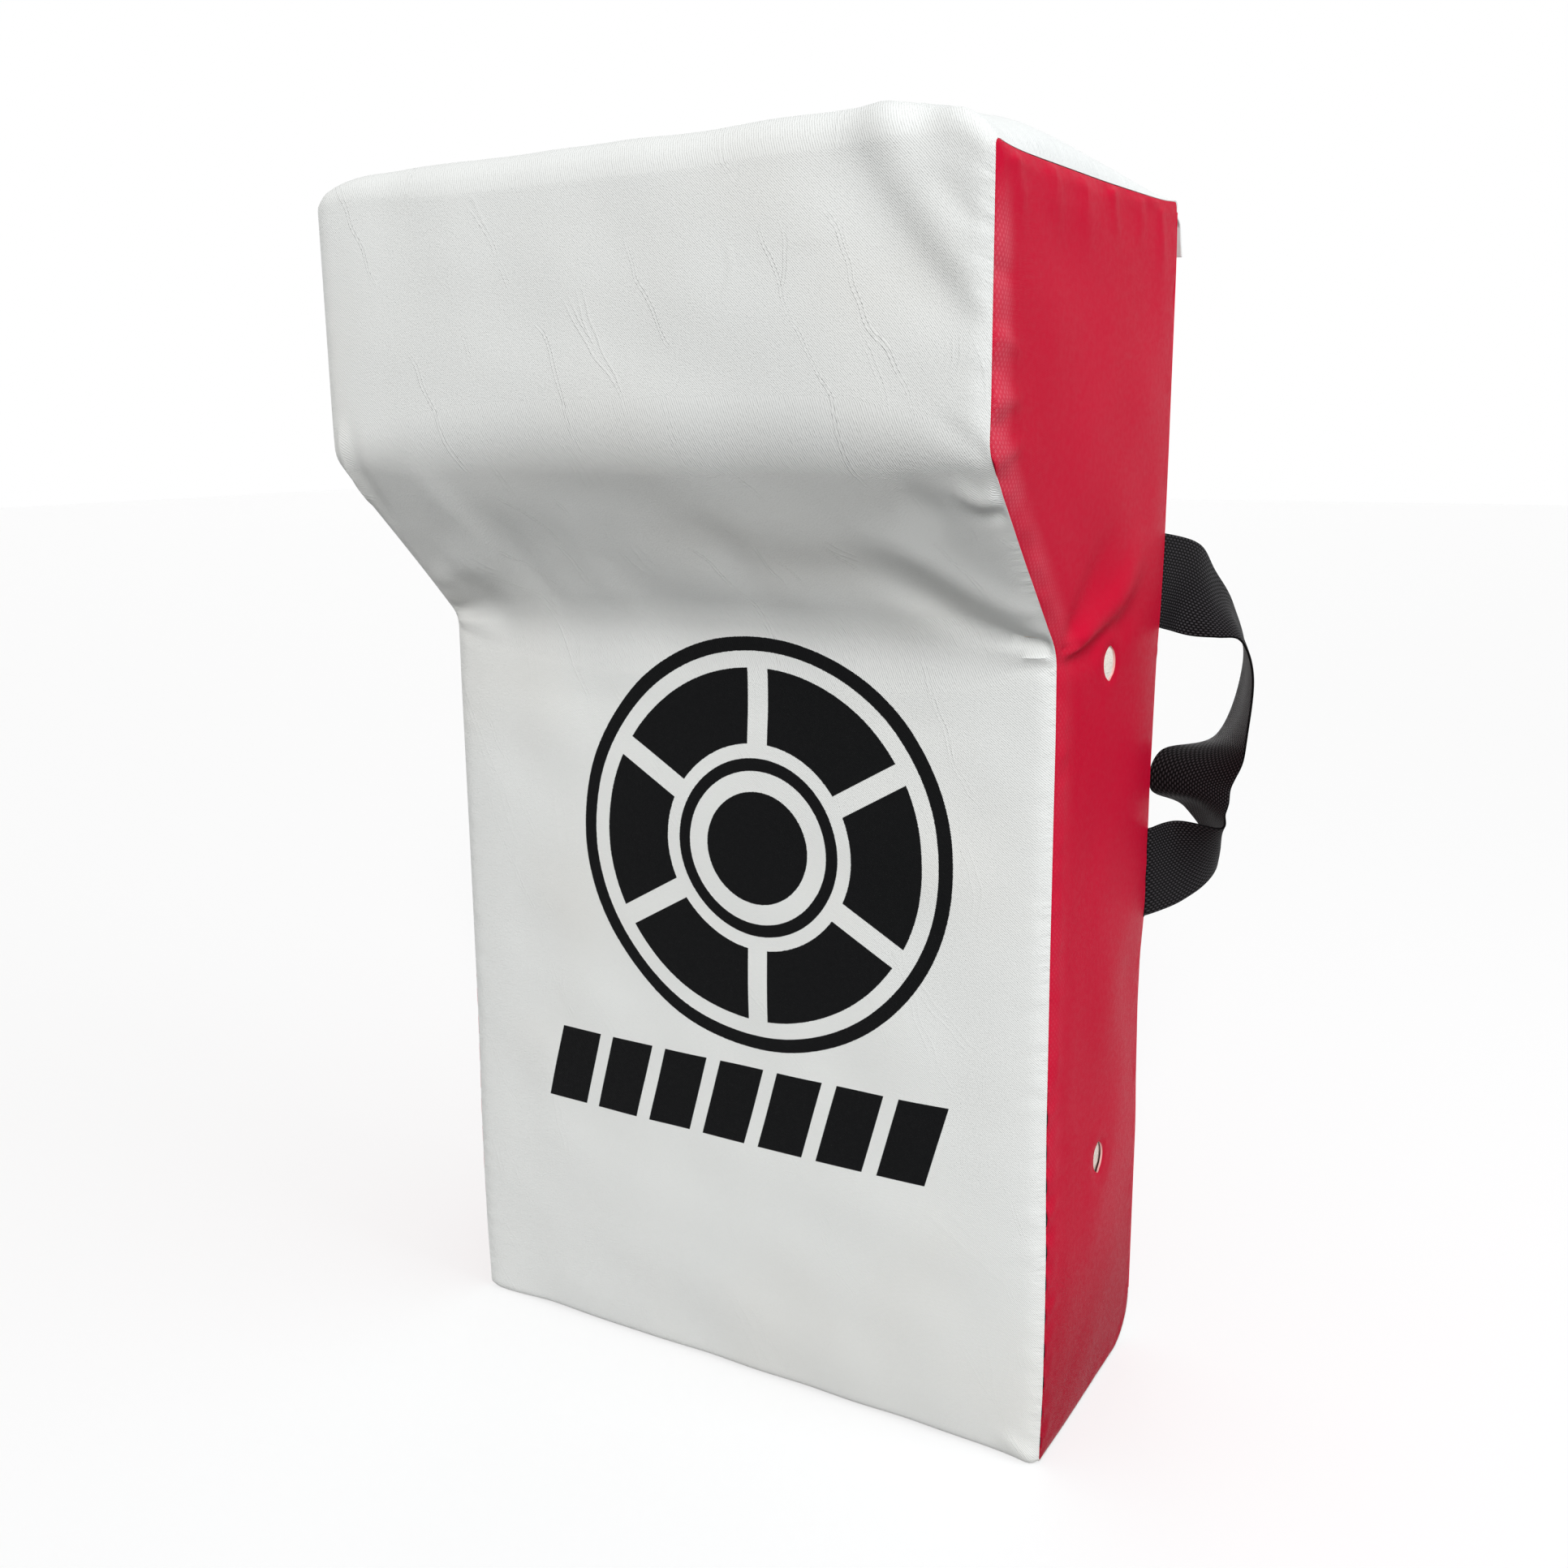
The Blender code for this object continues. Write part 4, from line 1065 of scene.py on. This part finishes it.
# the route from the upper anchor to the lower one in shares of the reach, with the way its width points
webbingStations = (
    ((0.00, 0.00, 1.00), (0.00, 0.00, 1.00)),
    ((0.20, 0.46, 0.93), (0.09, 0.27, 0.96)),
    ((0.53, 0.75, 0.81), (-0.26, 0.70, 0.66)),
    ((0.80, 0.93, 0.67), (-0.35, 0.89, 0.30)),
    ((0.99, 0.99, 0.35), (-0.35, 0.94, 0.05)),
    ((0.84, 0.88, -0.11), (-0.55, 0.82, -0.17)),
    ((0.39, 0.72, -0.32), (-0.95, 0.28, 0.16)),
    ((0.31, 0.68, -0.50), (-0.97, 0.23, -0.07)),
    ((0.55, 0.73, -0.63), (-0.66, 0.74, -0.15)),
    ((0.80, 0.69, -0.87), (-0.22, 0.78, -0.59)),
    ((0.30, 0.38, -0.96), (0.08, 0.25, -0.96)),
    ((0.00, 0.00, -1.00), (0.00, 0.00, -1.00)),
)


def webbingMaterial(name):
    material = newMaterial(name)
    cut = cutPlace()
    across, along, none = split(cut)
    row = calc("DIVIDE", across, webbing["rowPitch"])
    odd = times(calc("MODULO", calc("FLOOR", row), 2.0), 0.5)
    rib = plus(calc("DIVIDE", along, webbing["ribPitch"]), odd)
    humps = [calc("ABSOLUTE", calc("SINE", times(value, math.pi))) for value in (row, rib)]
    weave = times(*[calc("POWER", hump, 0.6) for hump in humps])
    fluff = cloudy(cut, 1400.0, 3.0)
    tone = times(calc("POWER", weave, 3.4), ramp(fluff, 0.3, 0.8, 0.5, 1.0))
    dress(blend(tone, webbing["black"], webbing["sheen"]), ramp(weave, 0.0, 1.0, 0.62, 0.46),
          raised((weave, 0.00045, 1.0), (fluff, 0.0002, 0.25)), 0.05)
    return material


def buildHandle(name, side, nodeName):
    steps = webbing["stepsPerStation"]
    route = curveThrough([np.multiply(place, webbing["reach"]) for place, width in webbingStations], steps)
    widths = curveThrough([width for place, width in webbingStations], steps)
    widths /= np.linalg.norm(widths, axis=1, keepdims=True)
    through = np.cross(np.gradient(route, axis=0), widths)
    through /= np.linalg.norm(through, axis=1, keepdims=True)
    total = runLength(route)[-1]
    length = runLength(route)[:, None]
    fromEnd = np.minimum(length, total - length)
    shares = np.linspace(-1.0, 1.0, webbing["columns"])[None, :]
    cup = 0.0011 * (shares ** 2 - 0.4) * np.sin(length * 23.0)
    flutter = 0.0007 * np.sin(shares * 3.0) * np.sin(length * 61.0)
    points = route[:, None, :] + widths[:, None, :] * (shares * webbing["width"] / 2)[..., None]
    points = points + through[:, None, :] * ((cup + flutter) * smooth(fromEnd / 0.05))[..., None]
    points = (points + webbing["axis"]) * (side, 1, 1)
    tucked = webbing["tuck"] * np.exp(-(fromEnd / 0.002) ** 2)  # the ends go into the corner seam
    points[..., 0] -= side * tucked
    points[..., 1] -= tucked
    cut = np.stack(np.broadcast_arrays((shares + 1) * webbing["width"] / 2, length), axis=-1)
    item = newGrid(name, points, cut)[0]
    thicken(item, webbingBlack, webbing["thickness"], 0.0, webbing["rounding"])
    placeSheet(item, nodeName, nodeName, "black_webbing", (webbing["width"], total), "hung", ["cover_and_core"])


webbingBlack = webbingMaterial("blackWebbing")
buildHandle("rightHandle", 1, "right_handle")
buildHandle("leftHandle", -1, "left_handle")


# Hidden strips: webbing tails and their backing

def stripFromNode(name, nodeName, material, slotName, thickness, columns=9, rows=9):
    low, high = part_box(nodeName)
    flatX, flatZ = np.meshgrid(np.linspace(high.x, low.x, columns), np.linspace(low.z, high.z, rows))
    corners = np.array([vertex.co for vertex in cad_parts[nodeName].data.vertices])
    points = np.stack([flatX, flatX, flatZ], axis=-1)
    for index in np.ndindex(flatX.shape):  # each place follows the solid's rear surface
        away = np.hypot(corners[:, 0] - flatX[index], corners[:, 2] - flatZ[index])
        points[index][1] = corners[away < away.min() + 0.0005, 1].max()
    item = newGrid(name, points, np.stack([high.x - flatX, flatZ - low.z], axis=-1))[0]
    thicken(item, material, thickness)
    placeSheet(item, "cover_and_core", nodeName, slotName, (high.x - low.x, high.z - low.z), "laid", ["back_panel"])


def backingMaterial(name, colour, pitch):
    material = newMaterial(name)
    cut = cutPlace()
    weave = times(ribs(cut, pitch, 0.0), ribs(cut, pitch, 90.0))
    dress(blend(weave, toned(colour, 0.6), colour), ramp(cloudy(cut, 300.0), 0.3, 0.7, 0.72, 0.9),
          raised((weave, 0.0002, 0.8)))
    return material


backingGrey = backingMaterial("backingCloth", (0.11, 0.11, 0.12), 0.0011)
for sideName in ("right", "left"):
    for placeName in ("upper", "lower"):
        stripFromNode(f"{sideName}{placeName.capitalize()}Tail", f"{sideName}_handle_{placeName}_tail",
                      webbingBlack, "black_webbing", 0.0015)
    stripFromNode(f"{sideName}AnchorBacking", f"{sideName}_anchor_backing", backingGrey, "backing_cloth", 0.0010, 7, 25)


# Foam

foamLook = {
    "cream": (0.86, 0.77, 0.66),
    "creamPale": (0.90, 0.83, 0.75),
    "firm": (0.30, 0.31, 0.33),
    "firmDark": (0.22, 0.23, 0.25),
    "voxel": 0.0075,
    "relief": 0.0042,
    "ventRelief": -0.0003,
    "ventReach": 0.019,
}


def foamMaterial(name, colour, second, poreScale):
    material = newMaterial(name)
    place = objectPlace()
    pores = cells(place, poreScale, "F1")
    tone = blend(ramp(cloudy(place, 40.0, 3.0), 0.3, 0.7), colour, second)
    tone = blend(ramp(pores, 0.1, 0.5, 0.35, 0.0), tone, toned(colour, 0.5))
    dress(tone, 0.92, raised((pores, 0.0005, 0.8)))
    return material


def buildFoam(name, nodeName, material):
    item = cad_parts[nodeName].copy()
    item.data = item.data.copy()
    for key in list(item.keys()):
        del item[key]
    item.parent = None
    item.name = name
    bpy.context.scene.collection.objects.link(item)
    item.data.materials.clear()
    while item.data.uv_layers:
        item.data.uv_layers.remove(item.data.uv_layers[0])
    selectOnly(item)
    bpy.ops.object.mode_set(mode="EDIT")
    bpy.ops.mesh.select_all(action="SELECT")
    bpy.ops.mesh.remove_doubles(threshold=0.00002)
    bpy.ops.mesh.normals_make_consistent(inside=False)
    bpy.ops.object.mode_set(mode="OBJECT")
    remesh = item.modifiers.new("remesh", "REMESH")
    remesh.mode = "VOXEL"
    remesh.voxel_size = foamLook["voxel"]
    applyModifiers(item)
    places = readPlaces(item.data.vertices).astype(float)
    inset = np.full(len(places), foamLook["relief"])
    bulge = (foamLook["relief"] - foamLook["ventRelief"]) * (np.abs(places[:, 0]) > 0.19)
    for depth, height in sidePanel["vents"]:  # the foam bulges a little into each vent
        away = np.hypot(places[:, 1] - depth, places[:, 2] - height)
        inset -= bulge * np.exp(-(away / foamLook["ventReach"]) ** 4)
    writePlaces(item.data, places - readPlaces(item.data.vertex_normals, "vector") * inset[:, None])
    soften = item.modifiers.new("soften", "SMOOTH")
    soften.factor = 0.5
    soften.iterations = 2
    applyModifiers(item)
    item.data.shade_smooth()
    item.data.materials.append(material)
    placePiece(item, "cover_and_core", nodeName)


creamFoam = foamMaterial("creamFoam", foamLook["cream"], foamLook["creamPale"], 900.0)
firmFoam = foamMaterial("firmFoam", foamLook["firm"], foamLook["firmDark"], 1400.0)
buildFoam("foamBacker", "foam_backer", firmFoam)
buildFoam("foamCore", "foam_core", creamFoam)
buildFoam("foamHeadWedge", "foam_head_wedge", creamFoam)


# Closure flap and its tapes

flap = {
    "halfWidth": 0.2165,
    "length": 0.027,
    "thickness": 0.0018,
    "cloth": 0.0014,
    "rounding": 0.0004,
    "angle": math.radians(14.0),
    "bulge": 0.0062,
    "axisY": 0.0878,
    "axisZ": 0.752,
    "tapeHalf": 0.1960,
    "tapeWidth": 0.014,
    "tapeDrop": 0.011,
    "tapeThickness": 0.0008,
    "gap": 0.0003,
}


def flapFrame(across, out, down):  # places on the flap: across it, outwards from its middle, down from its hinge
    sine, cosine = math.sin(flap["angle"]), math.cos(flap["angle"])
    out = out + flap["bulge"] * smooth(down / 0.009)
    y = flap["axisY"] + out * cosine + down * sine
    z = flap["axisZ"] + out * sine - down * cosine
    return settle(np.stack(np.broadcast_arrays(across, y, z), axis=-1))


def buildFlap():
    width, total = 2 * flap["halfWidth"], flap["length"]
    x = -(graded(width, 0.0010, 0.005) - flap["halfWidth"])
    flatX, flatDown = np.meshgrid(x, graded(total, 0.0006, 0.0016)[::-1])
    ripple = waves(flatX, flatDown * 0.3, 61, 0.045, 0.00045) * smooth(flatDown / total)
    hem = 0.00025 * smooth((flatDown - total + 0.009) / 0.001)
    groove = 0.00035 * np.exp(-((flatDown - total + 0.0075) / 0.0008) ** 2)
    points = flapFrame(flatX, flap["thickness"] / 2 - 0.0004 + ripple * 0.5 + hem - groove, flatDown)
    item = newGrid("closureFlap", points, np.stack([flap["halfWidth"] - flatX, flatDown], axis=-1))[0]
    thicken(item, whiteCover("whiteFlapLeatherette", width), flap["cloth"], rounding=flap["rounding"])
    placeSheet(item, "flap", "closure_flap", "white_leatherette", (width, total), "hung", ["front_panel"])


def tapeMaterial(name, colour, scale, height):
    material = newMaterial(name)
    cut = cutPlace()
    nap = cells(cut, scale, "F1")
    dress(blend(ramp(nap, 0.05, 0.6), toned(colour, 2.2), colour), ramp(cloudy(cut, 500.0), 0.3, 0.7, 0.65, 0.95),
          raised((nap, height, 1.0)))
    return material


def buildTape(name, bodyName, nodeName, points, cut, material, restsOn):
    item = newGrid(name, points, cut)[0]
    thicken(item, material, flap["tapeThickness"], sharp=True)
    placeSheet(item, bodyName, nodeName, nodeName, (2 * flap["tapeHalf"], flap["tapeWidth"]), "laid", [restsOn])


def buildTapes():
    half, seat = flap["tapeHalf"], flap["gap"] + flap["tapeThickness"]
    x = np.linspace(half, -half, 90)
    down = np.linspace(flap["tapeDrop"] + flap["tapeWidth"], flap["tapeDrop"], 9)
    flatX, flatDown = np.meshgrid(x[::-1], down)
    points = flapFrame(flatX, np.full(flatX.shape, -flap["thickness"] / 2 - seat), flatDown)
    buildTape("hookTape", "flap", "hook_tape", points, np.stack([flatX + half, flatDown], axis=-1),
              tapeMaterial("hookTape", (0.020, 0.020, 0.021), 1400.0, 0.0006), "closure_flap")
    flatX, flatZ = np.meshgrid(x, flap["axisZ"] - down)
    points = swell(flatX, np.full(flatX.shape, body["rear"] + seat), flatZ)
    buildTape("loopTape", "cover_and_core", "loop_tape", points, np.stack([half - flatX, flatZ - flatZ.min()], axis=-1),
              tapeMaterial("loopTape", (0.030, 0.030, 0.031), 900.0, 0.0008), "back_panel")


buildFlap()
buildTapes()


# Thread

thread = {"radius": 0.00032, "length": 0.0030, "pitch": 0.0040}


def threadMaterial(name, colour):
    material = newMaterial(name)
    twist = ribs(objectPlace(), 0.0007, 30.0)
    dress(blend(twist, toned(colour, 0.6), colour), 0.55, raised((twist, 0.0001, 0.7)))
    return material


def stitchRow(places, outward):  # stitches along a row of places
    bpy.ops.object.select_all(action="DESELECT")
    bpy.ops.mesh.primitive_cylinder_add(vertices=6, radius=thread["radius"], depth=thread["length"])
    bpy.ops.object.mode_set(mode="EDIT")
    bpy.ops.mesh.select_all(action="SELECT")
    bpy.ops.mesh.bevel(offset=thread["radius"] * 0.5, segments=1, affect="EDGES")
    bpy.ops.object.mode_set(mode="OBJECT")
    first = bpy.context.object
    length = runLength(places)
    count = max(2, int(length[-1] / thread["pitch"]))

    def placeAt(distance):
        return Vector([np.interp(distance, length, places[:, k]) for k in range(3)])

    made = []
    for index in range(count):
        middle = (index + 0.5) * length[-1] / count
        forward = (placeAt(middle + 0.001) - placeAt(middle - 0.001)).normalized()
        side = forward.cross(outward).normalized()
        up = side.cross(forward)
        turn = Matrix((side, up, forward)).transposed().to_4x4()
        copy = bpy.data.objects.new("stitch", first.data.copy())
        copy.data.transform(Matrix.Translation(placeAt(middle) + up * thread["radius"] * 0.4) @ turn)
        bpy.context.scene.collection.objects.link(copy)
        made.append(copy)
    bpy.data.objects.remove(first, do_unlink=True)
    return made


def joinStitches(name, made, material, bodyName):
    selectOnly(made[0])
    for item in made:
        item.select_set(True)
    bpy.ops.object.join()
    item = bpy.context.object
    item.name = name
    item.data.name = name
    item.data.shade_smooth()
    item.data.materials.clear()
    item.data.materials.append(material)
    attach(item, bodyName)
    print(name, "made,", len(made), "stitches")


def buildThreads():
    outward = Vector((0.0, math.cos(flap["angle"]), math.sin(flap["angle"])))
    x = np.linspace(-flap["halfWidth"] + 0.004, flap["halfWidth"] - 0.004, 200)
    made = []
    for drop in (flap["length"] - 0.0042, flap["tapeDrop"] - 0.0005):
        places = flapFrame(x, np.full(x.shape, flap["thickness"] / 2 - 0.0003), np.full(x.shape, drop))
        made += stitchRow(places, outward)
    joinStitches("flapStitching", made, threadMaterial("whiteThread", (0.70, 0.70, 0.67)), "flap")
    outer, inner = [body["halfWidth"] - edge for edge in backPanel["anchorSpan"]]
    share = np.linspace(0.0, 1.0, 40)
    made = []
    for side in (-1, 1):
        for height in backPanel["anchorHeights"]:
            low, high = height - backPanel["anchorHalf"], height + backPanel["anchorHalf"]
            corners = [(outer, low), (outer, high), (inner, high), (inner, low), (outer, low), (inner, high),
                       (inner, low), (outer, high)]
            for start, end in zip(corners, corners[1:]):
                x = side * (start[0] + (end[0] - start[0]) * share)
                z = start[1] + (end[1] - start[1]) * share
                made += stitchRow(swell(x, np.full(x.shape, body["rear"] + 0.0002), z), Vector((0.0, 1.0, 0.0)))
    joinStitches("anchorStitching", made, threadMaterial("blackThread", (0.020, 0.020, 0.022)), "cover_and_core")


buildThreads()


# Floor, backdrop and light

stageLook = {
    "ambient": 0.55,
    "key": 2.02,
    "keyFrom": (0.43, -0.77, 0.45),  # the sun's direction seen from the shield
    "back": 0.7,
    "backFrom": (-0.5, 0.87, 0.02),
    "sunSize": math.radians(26.0),
    "sidePlace": (1.25, -0.05, 1.35),
    "sideTarget": (0.15, 0.00, 0.55),
    "sidePower": 6.0,
    "sideSize": 0.60,
    "sideColour": (0.88, 0.94, 1.0),
    "floorTone": 0.24,
    "floorShown": 0.42,
    "floorGlow": 0.58,
}


def seenDirectly():
    rays = addNode("LightPath", None, {})
    return most(rays["Is Camera Ray"], rays["Is Glossy Ray"], rays["Is Transmission Ray"])


def floorPaint(name):
    material = newMaterial(name)
    tones = [(stageLook[key],) * 3 for key in ("floorTone", "floorShown")]
    dress(blend(seenDirectly(), *tones), 0.9, gloss=0.1)
    glow = times(seenDirectly(), stageLook["floorGlow"])
    light = addNode("Emission", 0, {"Color": (1.0, 1.0, 1.0, 1.0), "Strength": glow})
    total = addNode("AddShader", 0, {0: tree.nodes["Principled BSDF"].outputs[0], 1: light})
    fill(tree.nodes["Material Output"].inputs["Surface"], total)
    return material


def placeLamp(name, kind, toLamp, place=(0.0, 0.0, 0.0), **settings):
    light = bpy.data.lights.new(name, kind)
    for key, value in settings.items():
        setattr(light, key, value)
    lamp = bpy.data.objects.new(name, light)
    lamp.location = place
    lamp.rotation_euler = toLamp.to_track_quat("Z", "Y").to_euler()
    bpy.context.scene.collection.objects.link(lamp)


def buildStage():
    bpy.ops.object.select_all(action="DESELECT")
    bpy.ops.mesh.primitive_plane_add(size=24.0, location=(0.0, 0.0, -0.0006))
    floor = bpy.context.object
    floor.name = "floor"
    floor.data.materials.append(floorPaint("floorPaint"))

    world = bpy.data.worlds.new("studio")
    bpy.context.scene.world = world
    useTree(world)
    strength = addNode("Mix", 0, {0: seenDirectly(), 2: stageLook["ambient"], 3: 1.0}, data_type="FLOAT")
    background = tree.nodes["Background"].inputs
    fill(background["Color"], (1.0, 1.0, 1.0, 1.0))
    fill(background["Strength"], strength)

    for name in ("key", "back"):
        placeLamp(name + "Sun", "SUN", Vector(stageLook[name + "From"]), energy=stageLook[name],
                  angle=stageLook["sunSize"])
    place = Vector(stageLook["sidePlace"])
    placeLamp("sidePanel", "AREA", place - Vector(stageLook["sideTarget"]), place, energy=stageLook["sidePower"],
              size=stageLook["sideSize"], color=stageLook["sideColour"])
    print("stage and lights made")


buildStage()

bpy.context.view_layer.update()
